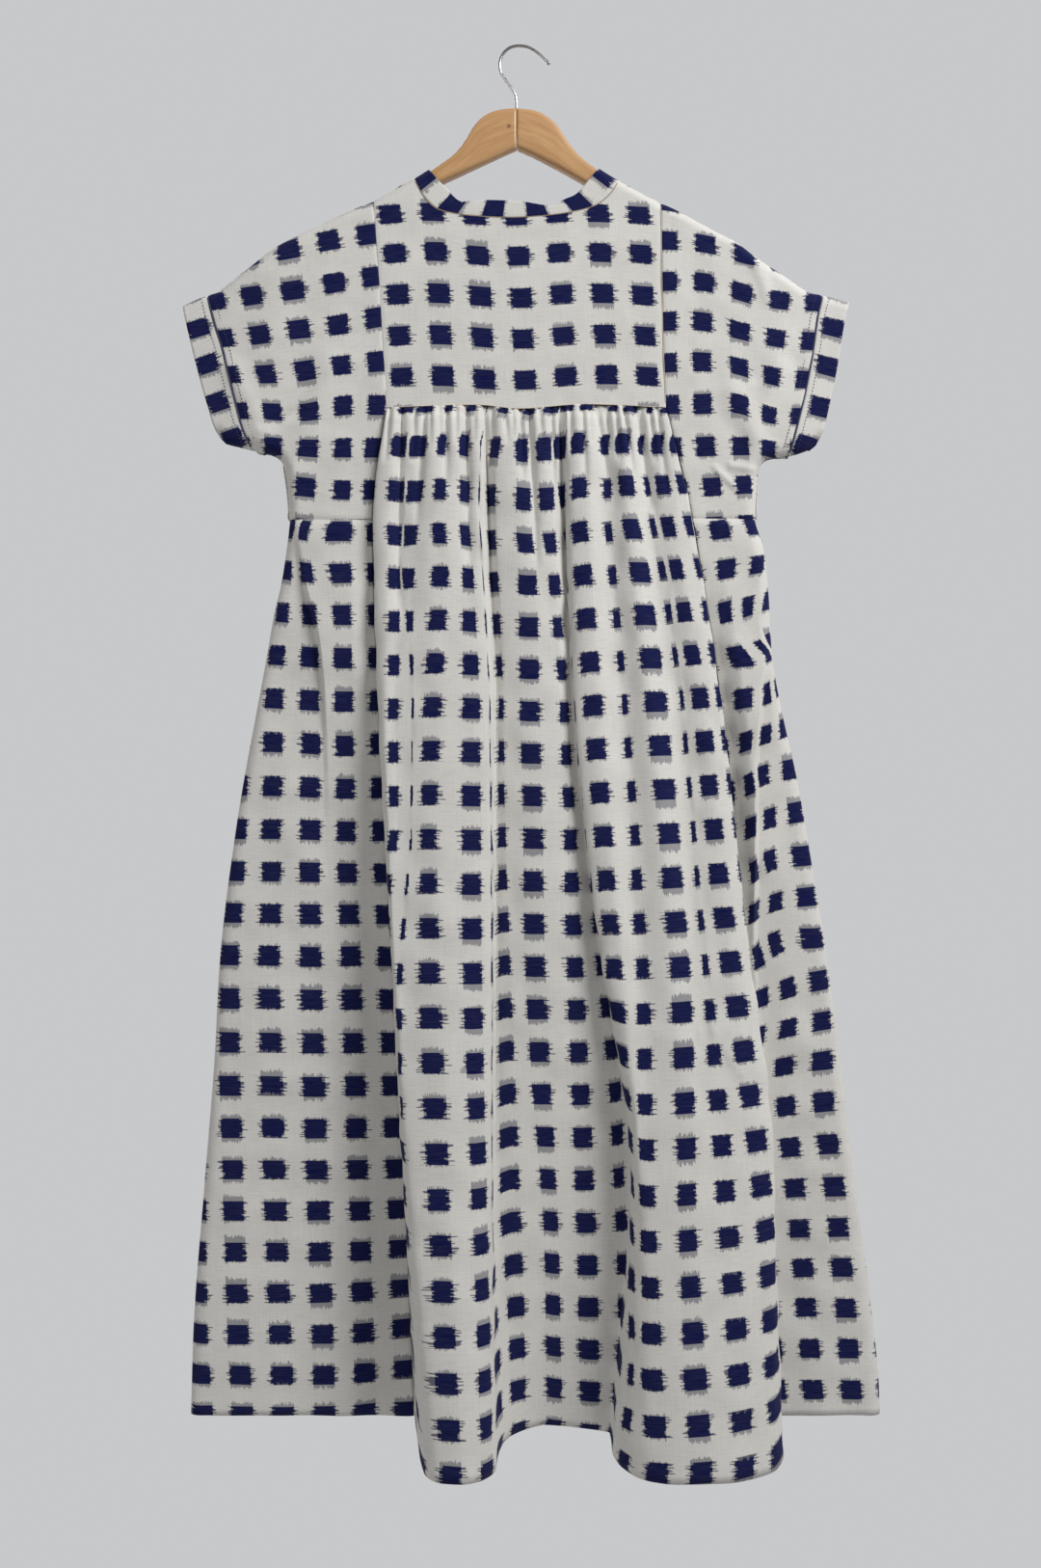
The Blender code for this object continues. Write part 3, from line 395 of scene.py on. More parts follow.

# %% [markdown]
# ## How the squares lie
#
# The squares are dyed into the yarn before it is woven, so they follow the cloth and not the seams. Each
# panel was cut and hung a little differently. The tables hold the middles of many squares, read off the
# photograph. A thin-plate fit through them turns any place of the pattern into a column and a row of
# squares, and that pair is the UV map: one unit is one repeat, about 39 mm. A flat projection would be
# shorter, but its squares would miss the real ones by up to half a repeat.

# %% Measured squares
SQUARES = {  # for each column of squares: its number, then (row, picture column, picture line) of each
    "YOKE": (
        (0, (0, 404.9, 222), (1, 409.6, 262.7), (2, 412.7, 305.1), (3, 414.7, 348.4), (4, 416.7, 391.2)),
        (1, (0, 448.4, 219.4), (1, 452, 260.2), (2, 455.5, 304.1), (3, 457.1, 346.9), (4, 459.2, 389.8)),
        (2, (0, 492.2, 223.3), (1, 495.7, 264.7), (2, 498.4, 306.9), (3, 500.4, 349.8), (4, 502.4, 393.3)),
        (3, (0, 535.5, 223.9), (1, 537.8, 265.1), (2, 540.8, 309), (3, 542.7, 351.4), (4, 544.9, 393.9)),
        (4, (0, 578, 220.8), (1, 580, 262.2), (2, 582.7, 305.5), (3, 584.9, 348.8), (4, 587.1, 390.8)),
        (5, (0, 620.8, 220.8), (1, 622.9, 261.6), (2, 625.3, 304.1), (3, 627.6, 346.3), (4, 629.4, 388.2)),
        (6, (0, 663.3, 223.3), (1, 665.1, 263.3), (2, 666.9, 306.5), (3, 669.4, 348.4), (4, 671.4, 390.2)),
    ),
    "LEFT_BACK": (
        (0, (1, 222.7, 311), (2, 232, 350), (3, 239, 388), (4, 248.6, 426)),
        (1, (1, 260.5, 306), (2, 269, 347), (3, 275.7, 388), (4, 282, 427), (5, 283, 462)),
        (2, (0, 299, 258.5), (1, 303.6, 301), (2, 310, 341), (3, 317, 384), (4, 321, 428), (5, 320, 465),
         (6, 316, 505)),
        (3, (0, 341, 249), (1, 347, 293), (2, 350.6, 337), (3, 354.6, 379), (4, 355.7, 420), (5, 356, 464),
         (6, 355.4, 508)),
        (4, (0, 381, 243), (1, 386, 287), (2, 389, 329), (3, 390.5, 375), (4, 391, 420), (5, 386.5, 464),
         (6, 384.4, 508)),
    ),
    "RIGHT_BACK": (
        (0, (0, 693.5, 249), (1, 692.7, 292), (2, 692.7, 333), (3, 693.8, 376), (4, 697, 419)),
        (1, (0, 732, 253), (1, 730.6, 292), (2, 728.7, 333), (3, 728, 375), (4, 728, 419), (5, 731.6, 463),
         (6, 739, 505)),
        (2, (0, 772.7, 264), (1, 769.7, 303), (2, 767.5, 343), (3, 767.5, 380), (4, 768, 419),
         (5, 769, 463), (6, 772, 502.5)),
        (3, (1, 809, 311), (2, 805, 350), (3, 800.6, 390), (4, 797.6, 431), (5, 797, 464)),
        (4, (1, 846, 312), (2, 841, 353), (3, 835.5, 393), (4, 829, 431)),
    ),
    "LEFT_BAND": (
        (0, (1, 204.7, 339), (2, 214, 376), (3, 224.6, 416), (4, 240.6, 454)),
        (1, (1, 245.2, 326.3), (2, 254.5, 363.3), (3, 265, 403.3), (4, 281, 441.3)),
    ),
    "RIGHT_BAND": (
        (0, (1, 823.6, 328.4), (2, 817.6, 368.4), (3, 810.6, 411.4), (4, 795, 451.4)),
        (1, (1, 865, 338), (2, 859, 378), (3, 852, 421), (4, 836.5, 461)),
    ),
    "LEFT_SKIRT": (
        (0, (17, 203, 1257.7), (20, 204, 1385)),
        (1, (8, 246.5, 860), (11, 237.3, 991), (14, 237.5, 1127), (17, 241, 1256.6), (20, 246.2, 1385.8),
         (22, 250.8, 1470)),
        (2, (1, 301.6, 547), (2, 297.2, 590), (4, 285.7, 678.7), (6, 281.9, 769.2), (8, 280, 859.8),
         (11, 278.6, 991.3), (14, 281.8, 1127), (17, 285.3, 1257.7), (20, 290, 1386), (22, 293.3, 1471)),
        (3, (1, 313.4, 550.1), (2, 316.9, 594), (4, 321, 681), (6, 322.6, 771.1), (8, 322, 860.8),
         (11, 322, 993), (14, 325.4, 1128), (17, 329.6, 1256.6), (20, 334.2, 1385), (22, 336.5, 1470)),
        (4, (1, 355, 550.7), (2, 355, 595), (4, 356, 683), (6, 356.9, 774), (8, 358.4, 862.5),
         (11, 364.2, 992), (14, 369, 1127), (17, 373.2, 1257), (20, 377, 1384), (22, 378, 1468)),
        (5, (1, 389, 552), (2, 390, 593), (4, 392, 682), (6, 394, 771), (8, 396, 862), (11, 401, 992),
         (14, 406.5, 1127), (17, 411.8, 1255.4), (20, 417, 1379.4), (22, 420, 1465)),
    ),
    "RIGHT_SKIRT": (
        (0, (1, 746, 549), (2, 753.6, 590), (4, 765, 681.9), (5, 768.8, 724.4), (6, 772.5, 769.3),
         (7, 776.5, 813.3), (9, 783, 904), (11, 788, 993)),
        (1, (1, 783, 544), (2, 787, 585.4), (4, 797, 676.5), (5, 797, 720), (6, 795, 762), (7, 791, 803.7),
         (9, 798, 892.4), (11, 803.3, 977.6), (14, 813.8, 1106.7), (17, 825, 1233), (20, 837, 1357.6),
         (22, 844.2, 1443)),
        (2, (4, 800, 668), (5, 807, 710), (6, 814.2, 755), (7, 821.4, 798), (9, 834.3, 888.6),
         (11, 844.8, 973.7), (14, 854.7, 1101), (17, 866.8, 1232.3), (20, 878.7, 1358.5),
         (22, 884.6, 1444)),
    ),
}
FIRST_COLUMN = {  # the number of each sheet's first column, so that no two sheets fray alike
    "YOKE": 40, "LEFT_BACK": 60, "RIGHT_BACK": 80, "LEFT_SKIRT": 100, "RIGHT_SKIRT": 120,
    "FRONT_BODICE": 140, "FRONT_SKIRT": 170, "COLLAR": 200, "LEFT_BAND": 220, "RIGHT_BAND": 240,
}
for name, table in SQUARES.items():
    print(name, "squares measured:", sum(len(column) - 1 for column in table))

# %% Thin-plate fit
SPREAD = 100.0
FIT_SLACK = 0.002


def plate(gap):
    return gap ** 2 * np.log(gap + 1e-9)


def squares_fit(name, out=12.0):
    """A function from places (across, up) to (column, row) of squares, for cloth that is so far out."""
    marks = []
    for number, *seen in SQUARES[name]:
        marks += [(*from_picture(column, line, out), number, row) for row, column, line in seen]
    marks = np.array(marks, float)
    at, wanted = marks[:, :2] / SPREAD, marks[:, 2:]
    count = len(at)
    bend = plate(np.linalg.norm(at[:, None] - at[None], axis=-1)) + FIT_SLACK * np.eye(count)
    flat = np.column_stack((np.ones(count), at))
    whole = np.block([[bend, flat], [flat.T, np.zeros((3, 3))]])
    weights = np.linalg.solve(whole, np.concatenate((wanted, np.zeros((3, 2)))))

    def lie(places):
        here = places.reshape(-1, 2) / SPREAD
        bend_here = plate(np.linalg.norm(here[:, None] - at[None], axis=-1))
        found = bend_here @ weights[:count] + np.column_stack((np.ones(len(here)), here)) @ weights[count:]
        return found.reshape(places.shape) + (FIRST_COLUMN[name], 0)

    return lie


print("the yoke's middle is at column, row", squares_fit("YOKE")(np.array([[0.0, -235.0]]))[0].round(2))

# %% [markdown]
# ## A sheet of cloth
#
# Every piece starts as `create_grid`, the flat cloth on the cutting table, and each of its points then
# moves to its place on the body. The grid could be moved by modifiers, but a formula keeps its edges
# exactly on the seams. Each point gets its place among the squares, as a UV map, in the same step. A live
# Solidify gives the cloth its thickness, inwards.

# %% Sheet from a grid
CLOTH = 0.9
WAVES = 16
SHORT_WAVE = 18
LONG_WAVE = 75


def normals_of(grid):
    facing = np.cross(np.gradient(grid, axis=0), np.gradient(grid, axis=1))
    middle = np.array((grid[..., 0].mean(), 0, grid[..., 2].mean()))
    away = grid - middle
    away[..., 1] *= 40
    if (facing * away).sum() < 0:
        facing = -facing
    return facing / np.maximum(np.linalg.norm(facing, axis=-1, keepdims=True), 1e-9)


def soft_waves(places, seed, height):
    """Slight unevenness of cloth that was folded and washed."""
    luck = np.random.default_rng(seed)
    total = np.zeros(places.shape[:-1])
    for _ in range(WAVES):
        turn = luck.uniform(0, 2 * math.pi)
        length = luck.uniform(SHORT_WAVE, LONG_WAVE)
        phase = luck.uniform(0, 2 * math.pi)
        way = places[..., 0] * math.cos(turn) + places[..., 1] * math.sin(turn)
        total += np.sin(2 * math.pi * way / length + phase) * length / LONG_WAVE
    return total * height / 2.0


def edges_gone(grid):
    """Distance along the cloth from its four edges: first column, last column, first row, last row."""
    across = np.linalg.norm(np.diff(grid, axis=0), axis=2)
    down = np.linalg.norm(np.diff(grid, axis=1), axis=2)
    from_first = np.concatenate((np.zeros((1, grid.shape[1])), np.cumsum(across, axis=0)))
    from_top = np.concatenate((np.zeros((grid.shape[0], 1)), np.cumsum(down, axis=1)), axis=1)
    return from_first, from_first[-1:] - from_first, from_top, from_top[:, -1:] - from_top


def tucked(grid, sewn, depth, width):
    """Rolls the sewn edges in, so that a seam shows as a soft groove. sewn says which of the four are."""
    dip = np.zeros(grid.shape[:2])
    for gone, is_sewn in zip(edges_gone(grid), sewn):
        if is_sewn:
            dip += depth * np.exp(-((gone / width) ** 2))
    return grid - normals_of(grid) * dip[..., None]


def sheet_mesh(name, grid, lie, closed=False):
    bm = bmesh.new()
    columns, rows = grid.shape[0] - 1, grid.shape[1] - 1
    bmesh.ops.create_grid(bm, x_segments=columns, y_segments=rows, size=0.5)
    squares = bm.loops.layers.uv.new("squares")
    for vert in bm.verts:
        i, j = round((vert.co.x + 0.5) * columns), round((vert.co.y + 0.5) * rows)
        for loop in vert.link_loops:
            loop[squares].uv = lie[i, j]
        vert.co = grid[i, j] * MM
    if closed:
        bmesh.ops.remove_doubles(bm, verts=bm.verts, dist=0.00001)
    bm.normal_update()
    bm.faces.ensure_lookup_table()
    wanted = normals_of(grid)
    middle = bm.faces[len(bm.faces) // 2]
    nearest = np.argmin(np.linalg.norm(grid * MM - np.array(middle.calc_center_median()), axis=-1))
    if np.dot(wanted.reshape(-1, 3)[nearest], middle.normal) < 0:
        bmesh.ops.reverse_faces(bm, faces=bm.faces)
    mesh = bpy.data.meshes.new(name)
    bm.to_mesh(mesh)
    bm.free()
    mesh.shade_smooth()
    return mesh


pieces = {}


def cloth(name, node, grid, lie, closed=False):
    """Adds a sheet that stands for a CAD node, and prints how much cloth is in it."""
    piece = bpy.data.objects.new(name, sheet_mesh(name, grid, lie, closed))
    bpy.context.scene.collection.objects.link(piece)
    wall = piece.modifiers.new("Thickness", "SOLIDIFY")
    wall.thickness = CLOTH * MM
    wall.offset = -1
    wall.use_rim = True
    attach(piece, "root")
    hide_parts(node)
    pieces[name] = piece
    area = np.linalg.norm(np.cross(np.diff(grid, axis=0)[:, :-1], np.diff(grid, axis=1)[:-1]), axis=-1).sum()
    print(name, "columns x rows", grid.shape[0], "x", grid.shape[1], "area", round(area / 1e6, 4), "m2")


print("cloth is", CLOTH, "mm thick")

# %% [markdown]
# ## Yoke
#
# The yoke is one flat piece between the neck seam, the shoulders, two side seams and the gathered seam
# below. Its four borders are known, so the inside is filled by blending them, as a Coons patch does.
# Filling it with triangles would leave no grid to bend.

# %% Fill between four seams
def laid_on(upper, lower, first, last, columns, rows):
    s, t = np.asarray(columns)[:, None, None], np.asarray(rows)[None, :, None]
    corners = (
        (1 - s) * (1 - t) * upper[0]
        + s * (1 - t) * upper[-1]
        + (1 - s) * t * lower[0]
        + s * t * lower[-1]
    )
    return (1 - t) * upper[:, None] + t * lower[:, None] + (1 - s) * first[None] + s * last[None] - corners


# %% Yoke sheet
def yoke_places():
    upper = joined(
        along((LEFT_YOKE[0], (-116, -133), BACK_NECK[0]), close_ends(14)),
        along(BACK_NECK, close_ends(81)),
        along((BACK_NECK[-1], (110, -134.2), RIGHT_YOKE[0]), close_ends(14)),
    )
    columns = shares_of(upper)
    rows = close_ends(91)
    lower = along(YOKE_FOOT, columns)
    return laid_on(upper, lower, along(LEFT_YOKE, rows), along(RIGHT_YOKE, rows), columns, rows)


def make_yoke():
    places = yoke_places()
    grid = back(places)
    grid[..., 1] -= soft_waves(places, 3, 0.3) * ease(0, 20, edges_gone(grid)[2])
    grid = tucked(grid, (True, True, False, False), depth=0.5, width=1.6)
    cloth("yoke", "back_yoke", grid, squares_fit("YOKE")(places))


make_yoke()

# %% [markdown]
# ## Side backs with grown-on sleeves
#
# Each side back reaches from the yoke and the gathered panel out to the sleeve band, and from the shoulder
# down to the waist seam. It could be cut in two at the armhole, but the real one isn't: the squares run on
# into the sleeve.

# %% The gathered panel's seams
HEIGHTS = (-335, -440, -600, -800, -1030, -1290)
SEAM_LEFT = (-121.7, -134, -129, -118, -105, -95)
SEAM_RIGHT = (134.2, 159, 184, 204, 228, 232)
SEAM_OUT = (12, 12, 11, 10, 9, 8)


def at_height(values, z):
    return through(HEIGHTS[::-1], values[::-1], z)


print("panel seams at the waist:", [at_height(seam, WAIST).round(1) for seam in (SEAM_LEFT, SEAM_RIGHT)])

# %% Side back sheets
def side_back_places(left):
    cuff = LEFT_CUFF_SEAM if left else RIGHT_CUFF_SEAM
    outline = LEFT_SIDE if left else RIGHT_SIDE
    seam = SEAM_LEFT if left else SEAM_RIGHT
    inward = 1 if left else -1
    heights = np.linspace(YOKE_BOTTOM, WAIST, 9)[1:]
    beside_panel = [(at_height(seam, z) - inward * SEAM_GAP, z) for z in heights]
    yoke = [*(LEFT_YOKE if left else RIGHT_YOKE), *beside_panel]
    underarm = [p for p in outline if abs(p[0]) < abs(cuff[-1][0]) and WAIST <= p[1] < cuff[-1][1]]
    ridge = [p for p in RIDGE if min(cuff[0][0], yoke[0][0]) < p[0] < max(cuff[0][0], yoke[0][0])]
    upper = along([cuff[0], *(ridge if left else ridge[::-1]), yoke[0]], shares(100))
    turned = along([cuff[-1], *underarm], shares(50))
    lower = joined(turned, along([underarm[-1], yoke[-1]], shares(51) ** 1.5))
    columns, rows = shares(100), close_ends(121)
    return laid_on(upper, lower, along(cuff, rows), along(yoke, rows), columns, rows)


def make_side_back(left):
    side = "left" if left else "right"
    places = side_back_places(left)
    grid = back(places)
    grid[..., 1] -= soft_waves(places, 5 if left else 6, 0.45) * outlines_rim(places)
    grid = tucked(grid, (True, True, False, True), depth=0.6, width=1.8)
    grid[..., 1] = np.minimum(grid[..., 1], -LEAST_OUT)
    cloth(f"side_back_{side}", f"back_side_{side}", grid, squares_fit(f"{side.upper()}_BACK")(places))


make_side_back(True)
make_side_back(False)

# %% [markdown]
# ## The gathered panel
#
# This is the widest piece of the back, about 570 mm of cloth sewn into 257 mm of yoke. Its large folds
# start as small gathers at the yoke and open downwards. Each row of the table follows one fold line from
# the yoke to the hem: how much of the cloth lies up to the next line, and across and out at six heights.
# The hem hangs lower where a fold stands out further. The sheet is a stack of smooth sections through these
# lines. A cloth simulation gives folds of its own choosing, so the folds are given one by one here.

# %% Fold lines
FOLDS = (  # columns up to the next line, across at six heights, out at six heights
    (2, SEAM_LEFT, SEAM_OUT),
    (2, (-121.2, -133.6, -128.8, -117.8, -104.8, -90), (13, 15.5, 20, 26, 34, 44)),
    (4, (-120, -132.5, -128.5, -117, -103.5, -83), (14, 19, 27, 38, 52, 74)),
    (4, (-113, -119, -120, -113, -98, -70), (16, 23, 34, 49, 66, 87)),
    (6, (-104, -105, -111, -106, -91, -61), (14, 20, 32.5, 49, 69, 89)),
    (6, (-78, -76, -74, -70, -64, -50), (17, 25, 37, 54, 72, 90)),
    (4, (-50, -48, -44, -42, -40, -33), (16, 23, 35, 51, 67, 84)),
    (2, (-33, -31, -25, -25, -26, -21), (14, 20, 31, 45, 58, 70)),
    (3, (-30, -28, -21, -21, -22, -18), (11.5, 15, 22, 31, 41, 54)),
    (6, (-23, -20, -12, -10, -8, -8), (14, 19, 26, 34, 38, 36)),
    (6, (5, 8, 12, 16, 24, 22), (16, 22, 30, 38, 36, 22)),
    (3, (33, 33, 37, 54, 82, 64), (15, 20, 27, 34, 36, 28)),
    (2, (41, 42, 48, 68, 99, 80), (11.5, 15, 21, 29, 37, 32)),
    (4, (44, 44, 50, 69, 100, 82), (15, 22, 33, 48, 60, 52)),
    (4, (60, 62, 68, 86, 107, 98), (17, 25, 38, 55, 71, 75)),
    (4, (79, 82, 93, 105, 115, 116), (13, 18.5, 31, 50, 73, 86)),
    (4, (95, 100, 116, 132, 143, 143), (17, 25, 39, 56, 75, 91)),
    (4, (111, 120, 142, 158, 171, 173), (13, 18, 28, 47, 71, 89)),
    (4, (124, 141, 165, 184, 203, 206), (15, 21, 33, 48, 66, 80)),
    (2, (132.5, 157, 182.5, 203.5, 227.5, 226), (13, 18, 27, 38, 53, 70)),
    (2, (133.7, 158.3, 183.3, 203.4, 227.6, 236), (12.5, 15, 20, 26, 36, 52)),
    (0, SEAM_RIGHT, SEAM_OUT),
)
HIGH_HEM_OUT = 8
LOW_HEM_OUT = 88


def panel_grid(column_count, rows):
    starts = np.concatenate(([0], np.cumsum([fold[0] for fold in FOLDS[:-1]])))
    columns = np.linspace(0, starts[-1], column_count)
    top_at = through(starts, [fold[1][0] for fold in FOLDS], columns)
    top = through(*zip(*YOKE_FOOT), top_at) - SEAM_GAP
    hem_out = np.interp(columns, starts, [fold[2][-1] for fold in FOLDS])
    foot = SIDE_HEM + (RIDGE_HEM - SIDE_HEM) * ease(HIGH_HEM_OUT, LOW_HEM_OUT, hem_out)
    grid = np.zeros((column_count, len(rows), 3))
    for j, share in enumerate(rows):
        height = top + share * (foot - top)
        fold_heights = np.interp(starts, columns, height)
        section = np.array([(at_height(f[1], z), at_height(f[2], z)) for f, z in zip(FOLDS, fold_heights)])
        chords = gone_along(section)
        at = np.interp(columns, starts, chords)
        grid[:, j, 0] = through(chords, section[:, 0], at)
        grid[:, j, 1] = -through(chords, section[:, 1], at)
        grid[:, j, 2] = height
    return grid


PANEL_LINES = 261
CLOSE_ROWS = np.linspace(0, 0.11, 37)  # shares of the panel's height, close together under the yoke
OTHER_ROWS = np.linspace(0.117, 1, 112)
smooth_panel = panel_grid(PANEL_LINES, np.concatenate((CLOSE_ROWS, OTHER_ROWS)))
print("the panel has", smooth_panel.shape[:2], "points before its gathers")

# %% [markdown]
# ## Gathers
#
# Under the yoke, the seam pinches the cloth into many small pleats. Their valleys are sharp at the seam,
# and widen and fade below it, most within a hand's breadth and a few much further down. No two are alike,
# so each is a row of the table: where it starts, where and how far down it ends, its depth and its half
# width. An even wave would look like corrugated card.

# %% Valleys of the gathers
VALLEYS = (  # across at the seam, across and up of the lower end, depth, half width
    (-118, -122, -387, 2, 1.6), (-107.5, -111, -520, 3, 2), (-96, -96, -387, 2, 2), (-86, -94, -451, 3, 2.5),
    (-81, -81, -375, 1.5, 1.5), (-73, -72, -380, 2, 2), (-66.7, -67, -415, 3, 2.5), (-58, -57, -370, 2, 2),
    (-49, -45, -505, 3.5, 3), (-41, -41, -370, 1.5, 2), (-32, -22, -600, 3, 2), (-24.7, -24, -380, 2.5, 2),
    (-13.8, -10, -370, 2, 2), (-6, -5, -365, 1.5, 1.5), (1.2, 4, -406, 3, 2), (9, 16.6, -487, 3.5, 2.5),
    (18.5, 22, -380, 2, 2), (29.4, 35, -470, 3, 2.5), (36.5, 48, -600, 3, 2), (47, 47, -380, 2, 2),
    (58, 61, -415, 2.5, 2), (64.7, 66, -370, 1.5, 1.5), (71, 83, -415, 3.5, 3), (79.7, 84, -380, 2.5, 2),
    (88.5, 92, -388, 2.5, 2), (95.6, 105, -406, 3, 2), (108.5, 121, -432, 4, 3), (119.4, 125, -388, 2.5, 2),
    (126.5, 135, -415, 2.5, 2),
)
SHARP = 1.8
BROAD = 0.7
BROADER = 2.6
DEEPEST = 8.5
NEAREST = 9.5  # the gathers leave the cloth at least this far out
PUFF = 3.2
PUFF_FROM, PUFF_FULL, PUFF_END = -336, -346, -500


def gathered(grid):
    x, z = grid[..., 0], grid[..., 2]
    lift = np.zeros_like(x)
    for start, end, foot, depth, width in VALLEYS:
        down = np.clip((YOKE_BOTTOM - z) / (YOKE_BOTTOM - foot), 0, 1)
        gone = np.abs(x - (start + (end - start) * down)) / (width * (1 + 0.7 * down))
        fade = (1 - down) ** 0.5 * ease(0, 0.04, down + 0.02)
        lift += depth * fade * (SHARP * np.exp(-(gone ** 1.5)) + BROAD * np.exp(-((gone / BROADER) ** 2)))
    puff = PUFF * ease(PUFF_FROM, PUFF_FULL, z) * ease(PUFF_END, PUFF_FULL, z)
    moved = grid.copy()
    moved[..., 1] += np.minimum(lift, DEEPEST) - puff
    moved[..., 1] = np.minimum(moved[..., 1], -NEAREST)
    return moved


print(len(VALLEYS), "gathers over", round(SEAM_RIGHT[0] - SEAM_LEFT[0]), "mm of seam")

# %% [markdown]
# ## Storage creases
#
# The dress seems to have been folded before it was hung, and a few fine creases cross the skirt. Each is a
# low ridge along a line, or a groove where its height is below zero. They could be painted as a bump, but a
# real ridge also catches the light from the side in other views.

# %% Creases of the skirts
PLACED_CREASES = (  # both ends (across, up), half width, height
    (-86.5, -637, -24.6, -637, 1.4, 0.8), (-14.5, -626, 44.7, -626, 1.3, 0.7),
    (-14.5, -639, 44.7, -639, 1.3, 0.7), (-4.9, -896, 66.3, -896, 1.4, 0.9), (61, -737, 138, -737, 1.3, 0.7),
    (119.8, -899.4, 147.7, -910.4, 2.4, 1.6), (147.7, -910.4, 171.5, -892.6, 2.4, 1.6),
    (171.5, -892.6, 214.6, -903.6, 2.4, 1.8), (170.7, -899, 200, -940, 3, 1.4),
    (-242.8, -738, -196, -738, 1.3, 0.9), (-178, -1023, -140, -1013, 1.6, 1.0),
)
PICTURED_CREASES = (  # both ends (picture column, line), the cloth's distance out, half width, height
    (315, 1373, 440, 1373, 8, 1.2, 0.7),
    (315, 1287, 440, 1287, 8, 1.2, 0.6),
    (834, 1216, 890, 1216, 9, 1.1, 0.7),
    (700, 1489, 797, 1470, 70, 1.2, -0.6),
)
CREASES = PLACED_CREASES + lines_from_picture(PICTURED_CREASES)


def creased(grid):
    moved = grid.copy()
    moved[..., 1] -= standing_out(grid[..., ::2], CREASES)
    return moved


print(len(CREASES), "creases")

# %% [markdown]
# ## Columns of squares on the gathered panel
#
# On the folds, a square is easiest to place by where it shows. One table gives the picture column of the
# middle of each square, for fifteen columns at ten rows, and the other how wide it shows. The script walks
# along a section of the cloth from the left seam to find where both borders of each square are. Where a
# column is out of sight in a fold, its entry is None: its middle shares the room between its neighbours,
# and where that room is small it gets little cloth. The plain cloth between squares takes up what is left.

# %% Lie of the panel's squares
PANEL_SQUARES = {  # row: picture column of each square's middle, left to right
    1: (414, 433, 458, 481, None, 514, 541, 564, 580, 598.7, 627, 645, 664, 681, 700.9),
    2: (412, 431, 457, 482, None, 510, 543.5, 567, 583, 601, 630.5, 650, 672.3, 688.4, 708.7),
    4: (409, 423, 457, 485.5, None, 512, 547.2, 574, None, 604.4, 635.2, 664, 687.9, 702.5, 728.6),
    7: (408, None, 448.6, 489, None, 520, 549.3, 584.8, None, 614.6, 648, 680.4, 708, 727.3, None),
    10: (408.7, None, 444.4, 489, None, 520.6, 553.2, 591.5, None, 625.5, 658.7, 694.3, 720, 741, None),
    13: (None, 414.6, 445, 489.8, None, 523, 554.4, 595.7, None, 637.2, 666.6, 705.8, 732.3, 758.4, None),
    16: (None, 416, 451, 494, None, 526.4, 561.2, 602, 638, 650.5, 669.3, 710.6, 745, 779, None),
    19: (None, 421, 457, 498.7, None, 529.5, 570.6, 607.2, 643.4, 656, 672.8, 713.6, 756.5, 795, None),
    22: (None, 429, 463, 502.8, None, 536.4, 573.8, 610.3, 643, 655.3, 676.5, 721.2, 766.6, 801, None),
    24: (None, 438, 467.5, 505.3, None, 538.2, 575.2, 612.5, 634, 647, 682, 728, 772.4, 806.7, None),
}
PANEL_WIDTHS = {  # row: how wide each square shows in the picture, None where it isn't seen there
    1: (15, 18, 7.4, 8.7, None, 8.7, 11.5, 17.3, 14.7, 13, 8.2, 14.5, 4.8, 11.5, 14),
    2: (17.3, 17.1, 11.5, 9, None, 9, 13.7, 16.3, 7, 15.2, 7.4, 15.2, 4.8, 17.8, 11),
    4: (12.6, 13, 17.1, 10.8, None, 8.7, 18.9, 11.5, None, 21.2, 7.4, 20.8, 7.6, 20, 10),
    6: (12, 12, 22, 17.3, None, 4.3, 20.6, 7.6, None, 22.8, 4.3, 22.8, 4, 20, None),
    8: (9, None, 20, 22, None, 4, 20, 9, None, 21, 6, 22, 2, 16.5, None),
    13: (None, None, 22, 20, None, 12, 21, 17, None, 16.5, 13, 21, 6, 22, None),
    16: (None, 2.5, 24, 17, None, 16.5, 19.5, 18, 12, 9, 15, 20, 18, 19.5, None),
    19: (None, 7, 22, 15, 3, 21, 15, 20, 10, 4, 16, 18, 20, 18, None),
    22: (None, 6, 22.6, 12.5, 3, 15.7, 14.5, 21, 3.5, 4.4, 22.6, 23.5, 21, 14, None),
    24: (None, 6, 22.6, 12, 3, 15, 16, 20, 3.5, 10, 23, 22.6, 19.5, 12, None),
}
COLUMNS = 15
SQUARE_WIDTH = 19.6
HIDDEN_WITHIN = 15.0
SHOWN_BEYOND = 30.0
HIDDEN_REACH = 0.46
LEAST_HALF = 0.5
LEAST_ROOM = 1.2
SHARE_OF_ROOM = 0.46
PAST_LEFT = 8.0  # how far outside the seams the middles of columns -1 and 15 would lie
PAST_RIGHT = 12.0
MARGIN = 20.0
MARGIN_COLUMNS = 0.8
RISE = 1e-3
ROW_SHIFT = (0.1, 0.1, 0.1, 0.15, 0.2, 0.25, 0.35, 0.37, 0.3, 0.1, 0.05, 0.0, -0.05, -0.08, -0.08)
HALF_SQUARE = 0.26
FIRST_ROW = 0.09
ROWS_TO_HEM = 24.16


